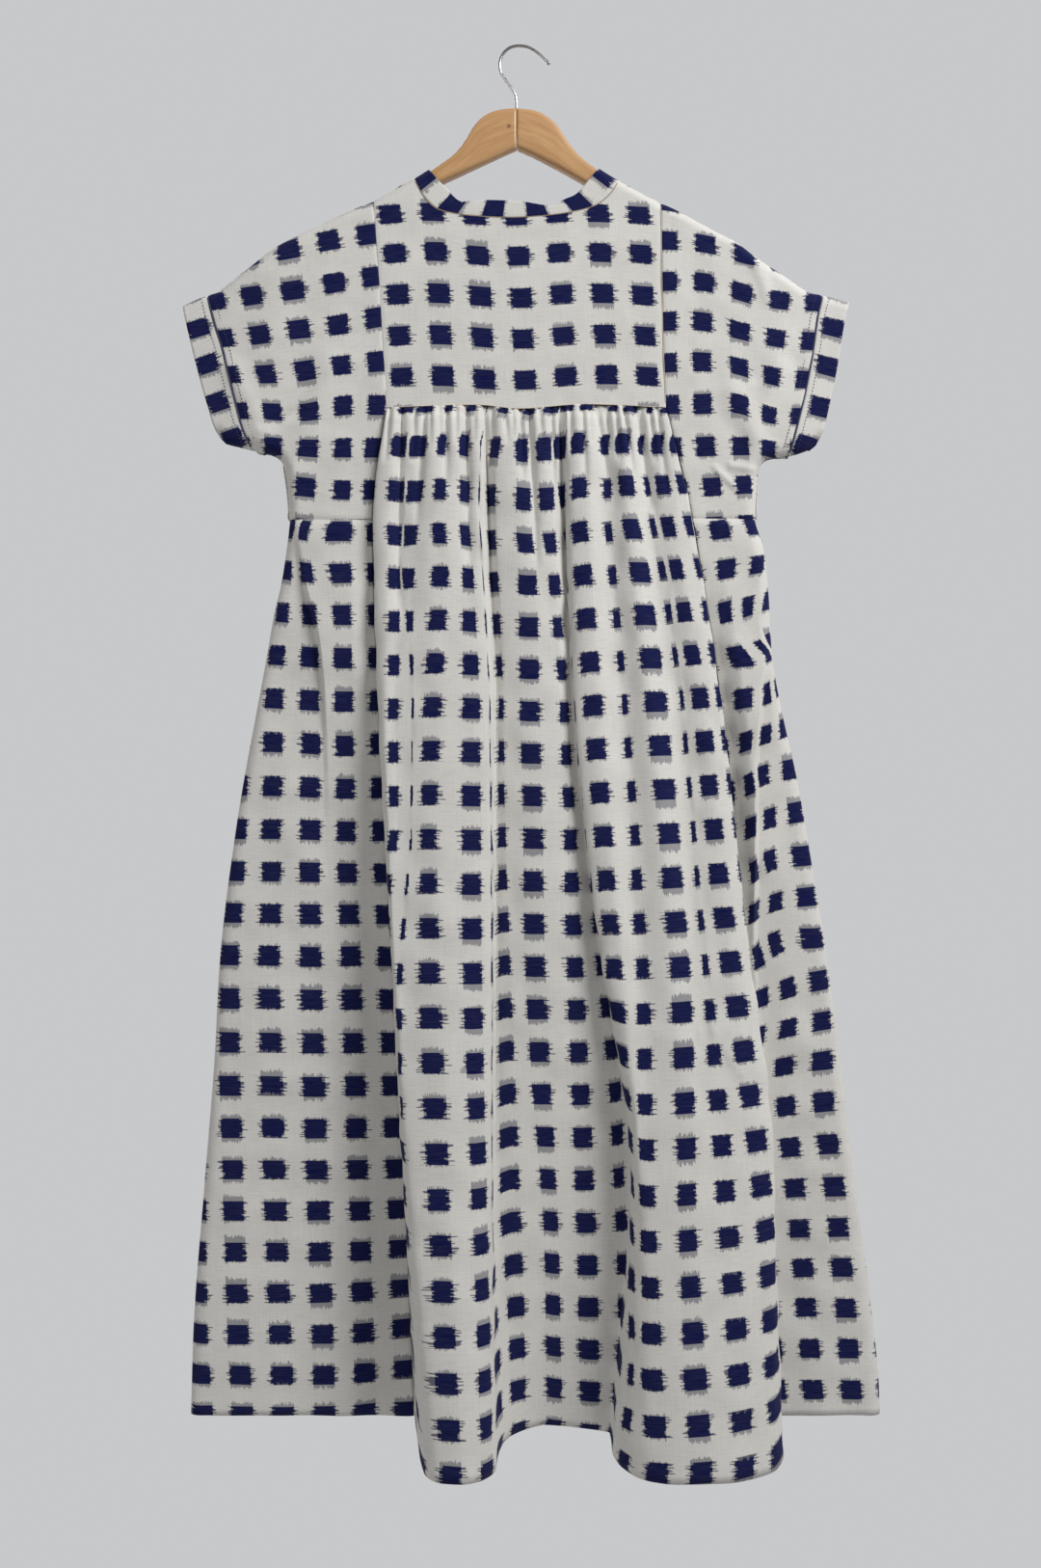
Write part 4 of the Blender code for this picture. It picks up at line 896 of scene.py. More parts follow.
def seen_at(grid, rows, row, pixels):
    """Distances along the cloth at which a row of squares lies under the given picture columns."""
    line = np.array([[np.interp(row, rows[i], grid[i, :, k]) for k in range(3)] for i in range(len(grid))])
    gone = gone_along(line[:, :2])
    nearness = VIEW_DISTANCE / (VIEW_DISTANCE + line[:, 1])
    pictured = PICTURE_MIDDLE[0] + (line[:, 0] - VIEW_ACROSS) * nearness / PIXEL
    found, start = [], 0
    for pixel in pixels:
        if pixel is None:
            found.append(None)
            continue
        crossing = [i for i in range(start, len(gone) - 1) if pictured[i] <= pixel <= pictured[i + 1]]
        start = crossing[0] if crossing else start + int(np.argmin(np.abs(pictured[start:] - pixel)))
        after = min(start + 1, len(gone) - 1)
        share = (pixel - pictured[start]) / max(pictured[after] - pictured[start], 1e-6)
        found.append(gone[start] + np.clip(share, 0, 1) * (gone[after] - gone[start]))
    return found, gone[-1]


def seen_width(column, row):
    """How wide a column's square shows in a row, between the rows where it was measured."""
    known = [(r, widths[column]) for r, widths in PANEL_WIDTHS.items() if widths[column] is not None]
    return np.interp(row, *zip(*known))


def square_borders(grid, rows, row):
    """Left and right border of each column's squares in a measured row, and the column numbers there.

    The borders are distances along the cloth. A square that is out of sight gets cloth by the room there.
    """
    edges = []
    for column, middle in enumerate(PANEL_SQUARES[row]):
        half = seen_width(column, row) / 2
        edges += [None, None] if middle is None else [middle - half, middle + half]
    found, whole = seen_at(grid, rows, row, edges)
    numbers = np.arange(COLUMNS)
    seen = [column for column in numbers if found[2 * column] is not None]
    places = [(found[2 * column] + found[2 * column + 1]) / 2 for column in seen]
    middles = np.interp(numbers, [-1, *seen, COLUMNS], [-PAST_LEFT, *places, whole + PAST_RIGHT])
    to_left = np.diff(middles, prepend=-MARGIN)
    to_right = np.diff(middles, append=whole + MARGIN)
    apart = (to_left + to_right) / 2
    room_for_it = ease(HIDDEN_WITHIN, SHOWN_BEYOND, apart)
    half = SQUARE_WIDTH / 2 * room_for_it
    reach = HALF_SQUARE + (HIDDEN_REACH - HALF_SQUARE) * (1 - room_for_it)
    reach[seen] = HALF_SQUARE
    for column in seen:
        half[column] = (found[2 * column + 1] - found[2 * column]) / 2
    room = np.minimum(to_left, to_right)
    half = np.clip(half, LEAST_HALF, SHARE_OF_ROOM * np.maximum(room, LEAST_ROOM))
    return (np.column_stack((middles - half, middles + half)).ravel(),
            np.column_stack((numbers - reach, numbers + reach)).ravel())


def panel_lie(grid):
    steps = np.linalg.norm(np.diff(grid[..., :2], axis=0), axis=2)
    lengths = np.concatenate((np.zeros((1, grid.shape[1])), np.cumsum(steps, axis=0)))
    drops = np.linalg.norm(np.diff(grid, axis=1), axis=2)
    drops = np.concatenate((np.zeros((grid.shape[0], 1)), np.cumsum(drops, axis=1)), axis=1)
    row = FIRST_ROW + ROWS_TO_HEM * drops / drops[:, -1:]
    measured = sorted(PANEL_SQUARES)
    middle_row = row.mean(axis=0)
    both = [square_borders(grid, row, r) for r in measured]
    borders = np.array([b[0] for b in both])
    numbers = np.array([b[1] for b in both])
    lie = np.zeros((*grid.shape[:2], 2))
    for j in range(grid.shape[1]):
        here = [np.interp(middle_row[j], measured, border) for border in borders.T]
        here = np.maximum.accumulate(np.array(here) + np.arange(2 * COLUMNS) * RISE)
        called = [np.interp(middle_row[j], measured, number) for number in numbers.T]
        known = np.concatenate(([here[0] - MARGIN], here, [here[-1] + MARGIN]))
        called = np.concatenate(([-MARGIN_COLUMNS], called, [COLUMNS - 1 + MARGIN_COLUMNS]))
        lie[:, j, 0] = np.interp(lengths[:, j], known, called)
    lie[..., 1] = row - np.interp(lie[..., 0], np.arange(COLUMNS), ROW_SHIFT) * ease(0, 3, row)
    return lie


WAVE_SCALE = 39  # millimetres to a repeat, for the soft waves
SEAM_DIP = 1.6
SEAM_DIP_WIDTH = 2.0


def make_panel():
    lie = panel_lie(smooth_panel)
    grid = creased(gathered(smooth_panel))
    facing = normals_of(grid)
    fade = ease(-350, -420, grid[..., 2])
    grid = grid + facing * (soft_waves(lie * WAVE_SCALE, 11, 0.5) * fade)[..., None]
    from_seam = edges_gone(grid)[2]
    grid[..., 1] += SEAM_DIP * np.exp(-((from_seam / SEAM_DIP_WIDTH) ** 2))
    cloth("gathered_panel", "back_skirt", grid, lie)


make_panel()

# %% [markdown]
# ## Side skirts
#
# Each side skirt is folded lengthways below the waist: a near layer beside the gathered panel and a far one
# that runs on to the outline. The step between them is soft at the waist and flattens towards the hem.

# %% Folded side sheets
# height, across of the fold, how far out the near layer and the far layer stand
LEFT_FOLD = ((-437, -207, 12, 12), (-494, -198, 15, 9), (-540, -186, 17, 8), (-584, -181, 15, 8),
             (-650, -178, 11, 9), (-760, -176, 9, 9), (-1260, -170, 8, 8))
RIGHT_FOLD = ((-437, 203, 12, 12), (-504, 214, 16, 16), (-572, 226, 21, 18), (-607, 222, 24, 11),
              (-674, 217, 26, 9), (-764, 217, 26, 9), (-834, 216, 24, 9), (-940, 224, 16, 9),
              (-1260, 234, 8, 8))
SIDE_REACH = 12.0
FOLD_WIDTH = 3.0


def fold_columns(z, left):
    """Across of the grid's lines at one height: close at the outline and at the fold."""
    outline = [p for p in (LEFT_SIDE if left else RIGHT_SIDE) if p[1] <= UNDERARM]
    table = LEFT_FOLD if left else RIGHT_FOLD
    inward = 1 if left else -1
    edge = through([p[1] for p in outline][::-1], [p[0] for p in outline][::-1], z)
    fold = through([row[0] for row in table][::-1], [row[1] for row in table][::-1], z)
    room = (at_height(SEAM_LEFT if left else SEAM_RIGHT, z) - inward * SEAM_GAP - edge) * inward
    fold_at = np.clip((fold - edge) * inward, SIDE_REACH + 2 * FOLD_WIDTH, room - 2.5 * FOLD_WIDTH)
    marks = (0, SIDE_REACH, fold_at - 1.3 * FOLD_WIDTH, fold_at + 1.3 * FOLD_WIDTH, room)
    counts = (16, 26, 16, 34)
    gone = [marks[0] + shares(counts[0] + 1)[:-1] ** 1.6 * SIDE_REACH]
    for start, end, count in zip(marks[1:-1], marks[2:], counts[1:]):
        gone.append(np.linspace(start, end, count + 1)[:-1])
    return edge + inward * np.concatenate((*gone, [room]))


def folded_side(places, left):
    x, z = places[..., 0], places[..., 1]
    table = LEFT_FOLD if left else RIGHT_FOLD
    inward = 1 if left else -1
    heights, across, near, far = (np.array(column, float)[::-1] for column in zip(*table))
    step = ease(-FOLD_WIDTH, FOLD_WIDTH, (x - through(heights, across, z)) * inward)
    out = through(heights, far, z) + step * (through(heights, near, z) - through(heights, far, z))
    seam = ease(0, 22, np.abs(x - at_height(SEAM_LEFT if left else SEAM_RIGHT, z)))
    out = at_height(SEAM_OUT, z) + seam * (out - at_height(SEAM_OUT, z))
    reach = rim(np.minimum(distance(places, left_line), distance(places, right_line)), SIDE_REACH)
    return np.stack([x, -np.maximum(out * reach, LEAST_OUT), z], axis=-1), reach


def make_side_skirt(left):
    side = "left" if left else "right"
    heights = np.linspace(WAIST, SIDE_HEM, 130)
    across = np.array([fold_columns(z, left) for z in heights]).T
    places = np.stack([across, np.broadcast_to(heights, across.shape)], axis=-1)
    grid, reach = folded_side(places, left)
    grid[..., 1] -= (soft_waves(places, 15 if left else 16, 0.6) + standing_out(places, CREASES)) * reach
    grid = tucked(grid, (False, True, True, False), depth=0.6, width=1.8)
    grid[..., 1] = np.minimum(grid[..., 1], -LEAST_OUT)
    lie = squares_fit(f"{side.upper()}_SKIRT", 12.0 if left else 13.0)(places)
    cloth(f"side_skirt_sheet_{side}", f"side_skirt_{side}", grid, lie)


make_side_skirt(True)
make_side_skirt(False)

# %% [markdown]
# ## Front
#
# The photograph doesn't show the front, so it is finished plainly: a bodice with the lower front neckline,
# and a skirt that flares in slow waves. Their squares hang straight, one repeat every 38.6 mm.

# %% Front sheets
REPEAT = 38.6


def straight_lie(places, name):
    return np.stack((places[..., 0] / REPEAT + FIRST_COLUMN[name], -places[..., 1] / REPEAT), axis=-1)


def front_bodice_places():
    left, right = LEFT_CUFF_SEAM, RIGHT_CUFF_SEAM
    left_side, right_side = (
        [p for p in outline if abs(p[0]) < abs(cuff[-1][0]) and WAIST <= p[1] < cuff[-1][1]]
        for outline, cuff in ((LEFT_SIDE, left), (RIGHT_SIDE, right)))
    spans = ((left[0][0], FRONT_NECK[0][0]), (FRONT_NECK[-1][0], right[0][0]))
    shoulders = [[p for p in RIDGE if low < p[0] < high] for low, high in spans]
    upper = joined(
        along([left[0], *shoulders[0], FRONT_NECK[0]], shares(46)),
        along(FRONT_NECK, close_ends(61)),
        along([FRONT_NECK[-1], *shoulders[1], right[0]], shares(46)),
    )
    lower = joined(
        along([left[-1], *left_side], shares(31)),
        along([left_side[-1], right_side[-1]], close_ends(91)),
        along([*right_side[::-1], right[-1]], shares(31)),
    )
    columns, rows = shares(len(upper)), close_ends(101)
    return laid_on(upper, lower, along(left, rows), along(right, rows), columns, rows)


def make_front():
    places = front_bodice_places()
    grid = front(places)
    grid[..., 1] += soft_waves(places, 21, 0.5) * outlines_rim(places)
    grid = tucked(grid, (True, True, False, True), depth=0.5, width=1.8)
    grid[..., 1] = np.maximum(grid[..., 1], LEAST_OUT)
    cloth("front_bodice_sheet", "front_bodice", grid, straight_lie(places, "FRONT_BODICE"))
    heights = np.linspace(WAIST, SIDE_HEM, 130)
    ends = []
    for side in (LEFT_SIDE, RIGHT_SIDE):
        rising = [p for p in side if p[1] <= UNDERARM][::-1]
        ends.append(through([p[1] for p in rising], [p[0] for p in rising], heights))
    across = ends[0] + close_ends(121)[:, None] * (ends[1] - ends[0])
    places = np.stack([across, np.broadcast_to(heights, across.shape)], axis=-1)
    grid = front(places)
    grid[..., 1] += soft_waves(places, 22, 0.7) * outlines_rim(places)
    grid = tucked(grid, (False, False, True, False), depth=0.5, width=1.8)
    grid[..., 1] = np.maximum(grid[..., 1], LEAST_OUT)
    cloth("front_skirt_sheet", "front_skirt", grid, straight_lie(places, "FRONT_SKIRT"))


make_front()

# %% [markdown]
# ## Collar and sleeve bands
#
# These are closed bands. Each runs along the back layer and returns along the front one, so its grid is a
# ring and `remove_doubles` closes it. The collar's squares turn with it, because a band is cut as a
# straight strip. Those of the sleeve bands are fitted to measured ones.

# %% Ring of cloth
def ring(upper, lower, upper_front, lower_front, columns, rows):
    def strip(first, second, surface):
        first, second = along(first, columns), along(second, columns)
        t = np.asarray(rows)[None, :, None]
        flat = (1 - t) * first[:, None] + t * second[:, None]
        placed = surface(flat)
        placed[(0, -1), :, 1] = 0
        return placed, flat

    behind, flat_behind = strip(upper, lower, back)
    before, flat_before = strip(upper_front, lower_front, front)
    return np.concatenate((behind, before[::-1][1:])), np.concatenate((flat_behind, flat_before[::-1][1:]))


def strip_lie(grid, first_column, first_row):
    """Squares of a straight strip: rows follow its length, and columns lie across it."""
    middle = grid[:, grid.shape[1] // 2]
    gone = gone_along(middle) / REPEAT
    wide = np.linalg.norm(grid - grid[:, :1], axis=-1) / REPEAT
    gone = np.broadcast_to(gone[:, None], wide.shape)
    return np.stack((wide + first_column, gone + first_row), axis=-1)


COLLAR_FIRST = (FIRST_COLUMN["COLLAR"] - 0.22, 5 - 0.34)
CUFFS = {"left": (LEFT_CUFF_SEAM, LEFT_CUFF_EDGE), "right": (RIGHT_CUFF_SEAM, RIGHT_CUFF_EDGE)}


def make_bands():
    columns, rows = close_ends(91), shares(13)
    grid, _ = ring(BACK_COLLAR, BACK_NECK, FRONT_COLLAR, FRONT_NECK, columns, rows)
    lie = strip_lie(grid, *COLLAR_FIRST)
    grid = tucked(grid, (False, False, False, True), depth=0.4, width=1.2)
    cloth("band_collar", "collar_band", grid, lie, closed=True)
    for side, (seam, edge) in CUFFS.items():
        grid, flat = ring(edge, seam, edge, seam, columns, rows)
        lie = squares_fit(f"{side.upper()}_BAND")(flat)
        grid = tucked(grid, (False, False, False, True), depth=0.5, width=1.5)
        cloth(f"cuff_{side}", f"sleeve_band_{side}", grid, lie, closed=True)


make_bands()

# %% [markdown]
# ## Threads that are dyed before weaving
#
# The cloth is taken to be a double ikat, in which both warp and weft are tied and dyed before they are
# woven. A square is solid navy where dyed warp crosses dyed weft. Where only one of them is dyed it is
# lighter, most so with the warp alone, and because the bundles never line up exactly, squares end in small
# streaks. The material does the same: one mask for the warp and one for the weft, added up, with the warp's
# share a little larger at every second crossing as in a plain weave. A picture of the squares would be
# simpler and would repeat.

# %% Small helpers for node trees
def wire(tree, value, socket):
    if isinstance(value, bpy.types.NodeSocket):
        tree.links.new(value, socket)
    else:
        socket.default_value = value


def maths(tree, operation, *values, clamp=False):
    node = tree.nodes.new("ShaderNodeMath")
    node.operation = operation
    node.use_clamp = clamp
    for value, socket in zip(values, node.inputs):
        wire(tree, value, socket)
    return node.outputs[0]


def together(tree, x, y=0.0, z=0.0):
    node = tree.nodes.new("ShaderNodeCombineXYZ")
    for value, socket in zip((x, y, z), node.inputs):
        wire(tree, value, socket)
    return node.outputs[0]


def chance(tree, *keys):
    """A number from 0 to 1 that is the same wherever the keys are."""
    node = tree.nodes.new("ShaderNodeTexWhiteNoise")
    node.noise_dimensions = "3D"
    wire(tree, together(tree, *keys), node.inputs["Vector"])
    return node.outputs["Value"]


def drift(tree, vector, scale=1.0, detail=2.0, roughness=0.5):
    node = tree.nodes.new("ShaderNodeTexNoise")
    wire(tree, vector, node.inputs["Vector"])
    node.inputs["Scale"].default_value = scale
    node.inputs["Detail"].default_value = detail
    node.inputs["Roughness"].default_value = roughness
    return node.outputs[0]


def stretched(tree, x, y, z, along_x, along_y):
    """A place for drift, with its own scale both ways."""
    return together(tree, maths(tree, "MULTIPLY", x, along_x), maths(tree, "MULTIPLY", y, along_y), z)


def map_parts(tree, name):
    """Both numbers of a UV map."""
    uv = tree.nodes.new("ShaderNodeUVMap")
    uv.uv_map = name
    parts = tree.nodes.new("ShaderNodeSeparateXYZ")
    tree.links.new(uv.outputs[0], parts.inputs[0])
    return parts.outputs[0], parts.outputs[1]


def add_bump(tree, shader, height, strength, deep):
    bump = tree.nodes.new("ShaderNodeBump")
    bump.inputs["Strength"].default_value = strength
    bump.inputs["Distance"].default_value = deep
    tree.links.new(height, bump.inputs["Height"])
    tree.links.new(bump.outputs[0], shader.inputs["Normal"])


def blend(tree, share, first, second):
    node = tree.nodes.new("ShaderNodeMix")
    node.data_type = "RGBA"
    wire(tree, share, node.inputs[0])
    for colour, socket in ((first, node.inputs[6]), (second, node.inputs[7])):
        wire(tree, (*colour, 1) if isinstance(colour, tuple) else colour, socket)
    return node.outputs[2]


print("node helpers ready")

# %% Dyed stretches of warp and weft
ENDS = 54.0
PICKS = 40.0
WARP_BUNDLES = 15.0
WEFT_BUNDLES = 19.0
WARP_HALF = (0.262, 0.235)  # a square's half width and half height in dyed warp, in repeats
WEFT_HALF = (0.218, 0.232)
ROW_DRIFT = 0.5
BUNDLE_SLIP = 0.05
END_SLIP = 0.07
LONGER = 0.085
RUN_ON = (-0.06, 0.16)  # how far single weft threads run on: at least, and how much more at most
EDGE = -60.0
WARP_EDGE = -45.0
WEFT_EDGE = -30.0


def apart(tree, place, middle):
    return maths(tree, "ABSOLUTE", maths(tree, "SUBTRACT", place, middle))


def inside(tree, past, sharpness):
    """1 where past is below zero and 0 above it, with an edge of the given sharpness."""
    return maths(tree, "MULTIPLY_ADD", past, sharpness, 0.5, clamp=True)


def dyed_warp(tree, u, v, column, row):
    """1 where the warp thread is dyed. Its stretch starts and stops a little off from its neighbours'."""
    end = maths(tree, "FLOOR", maths(tree, "MULTIPLY", u, ENDS))
    bundle = maths(tree, "FLOOR", maths(tree, "MULTIPLY", u, WARP_BUNDLES))
    slow = drift(tree, stretched(tree, column, row, 0.0, 3.7, 0.13))
    shift = maths(tree, "MULTIPLY_ADD", slow, ROW_DRIFT, -ROW_DRIFT / 2)
    slip = maths(tree, "MULTIPLY", chance(tree, bundle, column, 3.0), BUNDLE_SLIP)
    slip = maths(tree, "MULTIPLY_ADD", chance(tree, end, row, 5.0), END_SLIP, slip)
    longer = maths(tree, "MULTIPLY_ADD", chance(tree, column, 1.0, 9.0), LONGER, WARP_HALF[1])
    reach = maths(tree, "ADD", longer, maths(tree, "SUBTRACT", slip, BUNDLE_SLIP))
    past = maths(tree, "SUBTRACT", apart(tree, v, maths(tree, "ADD", row, shift)), reach)
    stretch = inside(tree, past, WARP_EDGE)
    within = inside(tree, maths(tree, "SUBTRACT", apart(tree, u, column), WARP_HALF[0]), EDGE)
    return maths(tree, "MULTIPLY", stretch, within), end


def dyed_weft(tree, u, v, column, row):
    """1 where the weft thread is dyed. Single threads run on and fray the square's sides."""
    pick = maths(tree, "FLOOR", maths(tree, "MULTIPLY", v, PICKS))
    tied = maths(tree, "FLOOR", maths(tree, "MULTIPLY", v, WEFT_BUNDLES))
    side = maths(tree, "GREATER_THAN", u, column)
    single = maths(tree, "POWER", chance(tree, pick, side, 2.0), 1.2)
    run_on = maths(tree, "MULTIPLY_ADD", single, RUN_ON[1], RUN_ON[0])
    run_on = maths(tree, "MULTIPLY_ADD", chance(tree, tied, side, 4.0), 0.05, run_on)
    run_on = maths(tree, "MULTIPLY_ADD", chance(tree, pick, side, column), 0.06, run_on)
    past = maths(tree, "SUBTRACT", apart(tree, u, column), maths(tree, "ADD", run_on, WEFT_HALF[0]))
    stretch = inside(tree, past, WEFT_EDGE)
    within = inside(tree, maths(tree, "SUBTRACT", apart(tree, v, row), WEFT_HALF[1]), EDGE)
    return maths(tree, "MULTIPLY", stretch, within), pick


print(ENDS, "warp and", PICKS, "weft threads to a repeat of", REPEAT, "mm")

# %% [markdown]
# ## The cotton itself
#
# The undyed cotton is a warm off-white with thicker slubs in the weft, some of them straw-coloured. The
# navy is a touch uneven, as hand dyeing is. A fine bump gives the weave, and a little sheen lightens the
# cloth's edges as fibre does.

# %% Ikat cotton
CREAM = (0.79, 0.773, 0.728)
STRAW = (0.66, 0.52, 0.33)
NAVY = (0.003, 0.0062, 0.066)
WEFT_DYE = 0.8
WARP_DYE = 0.45
WARP_DYE_TURN = 0.2
BASE_SHADE = 0.80
SLUB_SHADE = 0.34
WARP_SHADE = 0.16
CLOUD_SHADE = 0.10


def ikat_cotton():
    finish, tree, shader = new_finish("ikat_cotton")
    u, v = map_parts(tree, "squares")
    column, row = maths(tree, "ROUND", u), maths(tree, "ROUND", v)
    warp, end = dyed_warp(tree, u, v, column, row)
    weft, pick = dyed_weft(tree, u, v, column, row)
    turn = maths(tree, "PINGPONG", maths(tree, "ADD", end, pick), 1.0)
    warp_share = maths(tree, "MULTIPLY_ADD", turn, WARP_DYE_TURN, WARP_DYE)
    dye = maths(tree, "MULTIPLY_ADD", warp, warp_share, maths(tree, "MULTIPLY", weft, WEFT_DYE), clamp=True)
    slub = drift(tree, stretched(tree, u, v, 0.0, 2.2, PICKS), detail=3.0, roughness=0.6)
    warp_slub = drift(tree, stretched(tree, u, v, 7.0, 34.0, 1.4))
    cloudy = drift(tree, together(tree, u, v, 3.0), scale=0.9)
    straw = maths(tree, "MULTIPLY_ADD", slub, 5.0, -3.05, clamp=True)
    plain = blend(tree, maths(tree, "MULTIPLY", straw, 0.45), CREAM, STRAW)
    shade = maths(tree, "MULTIPLY_ADD", slub, SLUB_SHADE, BASE_SHADE)
    for pattern, strength in ((warp_slub, WARP_SHADE), (cloudy, CLOUD_SHADE)):
        shade = maths(tree, "MULTIPLY_ADD", pattern, strength, maths(tree, "SUBTRACT", shade, strength / 2))
    shaded = tree.nodes.new("ShaderNodeVectorMath")
    shaded.operation = "SCALE"
    tree.links.new(plain, shaded.inputs[0])
    tree.links.new(shade, shaded.inputs["Scale"])
    depth = maths(tree, "MULTIPLY", dye, maths(tree, "MULTIPLY_ADD", slub, 0.08, 0.95), clamp=True)
    tree.links.new(blend(tree, depth, shaded.outputs[0], NAVY), shader.inputs["Base Color"])
    shader.inputs["Roughness"].default_value = 0.92
    shader.inputs["Specular IOR Level"].default_value = 0.1
    shader.inputs["Sheen Weight"].default_value = 0.06
    shader.inputs["Sheen Roughness"].default_value = 0.5
    weave = maths(tree, "ADD", maths(tree, "MULTIPLY", slub, 0.7), maths(tree, "MULTIPLY", warp_slub, 0.4))
    weave = maths(tree, "MULTIPLY_ADD", turn, 0.12, weave)
    add_bump(tree, shader, weave, strength=0.5, deep=0.0005)
    return finish


cotton = ikat_cotton()
for piece in pieces.values():
    piece.data.materials.append(cotton)
print("ikat cotton on", len(pieces), "pieces")

# %% [markdown]
# ## Stitches
#
# A sewing thread shows on the sleeves: two rows of dark stitches, and between them the thin dark selvedge
# where the band is joined. Each stitch is a small capsule from `create_uvsphere`, stretched along the row
# and laid on the cloth. A bump could only draw them flat.

# %% Rows of stitches
def beside(line, gap):
    """A line moved sideways in the dress's plane, to its left for a positive gap."""
    run = headings(line)
    return line + gap * np.stack((-run[:, 1], run[:, 0]), axis=1)


def thread_finish(name, colour):
    finish, tree, shader = plain_finish(name, colour, 0.7)
    place = tree.nodes.new("ShaderNodeTexCoord")
    patchy = drift(tree, place.outputs["Object"], 900.0, 2.0, 0.6)
    light = tuple(min(1.0, c * 2.4 + 0.02) for c in colour)
    tree.links.new(blend(tree, patchy, colour, light), shader.inputs["Base Color"])
    shader.inputs["Sheen Weight"].default_value = 0.2
    return finish


def add_rigid(name, bm, finish):
    mesh = bpy.data.meshes.new(name)
    bm.to_mesh(mesh)
    bm.free()
    mesh.shade_smooth()
    mesh.materials.append(finish)
    piece = bpy.data.objects.new(name, mesh)
    bpy.context.scene.collection.objects.link(piece)
    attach(piece, "root")
    return piece


STITCH_PITCH = 3.1
STITCH_LENGTH = 1.9
STITCH_WIDTH = 0.75
STITCH_GAPS = (-6.2, 6.4)  # from the band's seam to the two rows of stitches
INDIGO = (0.012, 0.014, 0.05)
# Colour of the strip along the collar's seam: partly its sewing thread, partly painted shade along the seam.
COLLAR_THREAD_AND_SHADE = (0.20, 0.15, 0.10)
# Colour of the strip along two seams of the yoke: partly its sewing thread, partly painted shade of the
# seam's gap.
YOKE_THREAD_AND_SHADE = (0.42, 0.34, 0.24)


def stitch_row(bm, line):
    """Adds stitches along a line of places in space."""
    gone = gone_along(line)
    for at in np.arange(STITCH_PITCH / 2, gone[-1], STITCH_PITCH):
        here = np.array([np.interp(at, gone, line[:, k]) for k in range(3)])
        ahead = np.array([np.interp(min(at + 0.5, gone[-1]), gone, line[:, k]) for k in range(3)])
        way = ahead - here
        made = bmesh.ops.create_uvsphere(bm, u_segments=8, v_segments=5, radius=0.5 * MM)
        turn = math.atan2(way[2], way[0])
        bmesh.ops.scale(bm, verts=made["verts"], vec=(STITCH_LENGTH, STITCH_WIDTH, STITCH_WIDTH))
        bmesh.ops.rotate(bm, verts=made["verts"], matrix=Matrix.Rotation(-turn, 3, "Y"))
        bmesh.ops.translate(bm, verts=made["verts"], vec=here * MM)


indigo_thread = thread_finish("indigo_thread", INDIGO)
print("stitches are 8 by 5 capsules")

# %% Sleeve stitches and selvedge
def flat_cord(bm, line, width, height):
    """A low rounded strip along a line in space, left open at both ends for close_up."""
    count = len(line) - 1
    around = 8
    new = bmesh.ops.create_grid(bm, x_segments=count, y_segments=around, size=0.5)["verts"]
    run = headings(line)
    out = np.array((0.0, -1.0, 0.0))
    for vert in new:
        i, j = round((vert.co.x + 0.5) * count), round((vert.co.y + 0.5) * around)
        angle = 2 * math.pi * j / around
        side = np.cross(run[i], out)
        vert.co = (line[i] + side * width * math.cos(angle) + out * height * math.sin(angle)) * MM
    bmesh.ops.remove_doubles(bm, verts=new, dist=0.000001)


def lifted(line, surface, height):
    """A line on the back or the front, moved off the cloth."""
    line[:, 1] += -height if surface is back else height
    return line


def close_up(bm):
    bmesh.ops.holes_fill(bm, edges=bm.edges, sides=0)
    bmesh.ops.recalc_face_normals(bm, faces=bm.faces)


def make_cuff_threads():
    for side, (seam, _) in CUFFS.items():
        middle = along(seam, shares(60))
        outward = 1 if side == "left" else -1
        bm = bmesh.new()
        for gap in STITCH_GAPS:
            for surface in (back, front):
                flat = beside(middle, gap * outward)[2:-2]
                stitch_row(bm, lifted(surface(flat), surface, 0.15))
        add_rigid(f"cuff_stitches_{side}", bm, indigo_thread)
        bm = bmesh.new()
        for surface in (back, front):
            flat_cord(bm, lifted(surface(middle)[1:-1], surface, 0.1), 0.75, 0.35)
        close_up(bm)
        add_rigid(f"cuff_selvedge_{side}", bm, indigo_thread)
    print("two rows of stitches and a selvedge on each sleeve")


make_cuff_threads()

# %% Threads of the collar and the yoke, with painted seam shade
def make_seam_threads_and_shade():
    bm = bmesh.new()
    # The collar's dark strip is partly thread and partly painted shade along the neck seam.
    for surface, seam in ((back, BACK_NECK), (front, FRONT_NECK)):
        line = surface(along(seam, shares(120)))[3:-3]
        flat_cord(bm, lifted(line, surface, 0.1), 0.4, 0.3)
    close_up(bm)
    add_rigid("collar_seam_thread_and_shade", bm, thread_finish("collar_thread_and_shade", COLLAR_THREAD_AND_SHADE))
    # The yoke's tan strip is partly thread and partly painted shade of the seam's gap.
    bm = bmesh.new()
    for seam in (YOKE_FOOT, RIGHT_YOKE):
        line = back(along(seam, shares(80)))[2:-2]
        flat_cord(bm, lifted(line, back, 0.05), 0.3, 0.25)
    close_up(bm)
    add_rigid("yoke_seam_thread_and_shade", bm, thread_finish("yoke_thread_and_shade", YOKE_THREAD_AND_SHADE))


make_seam_threads_and_shade()
print("a thread along the collar's seam, and one along two seams of the yoke")

# %% [markdown]
# ## Hanger
#
# Two wooden arms are glued end to end under the neck, and a bent steel wire is pushed into the joint. An
# arm is a rounded bar that thins towards its tip. `create_grid` is rolled into a tube of sections and
# `holes_fill` closes the ends. Spinning a profile would give a round bar, and this one is flat-sided.

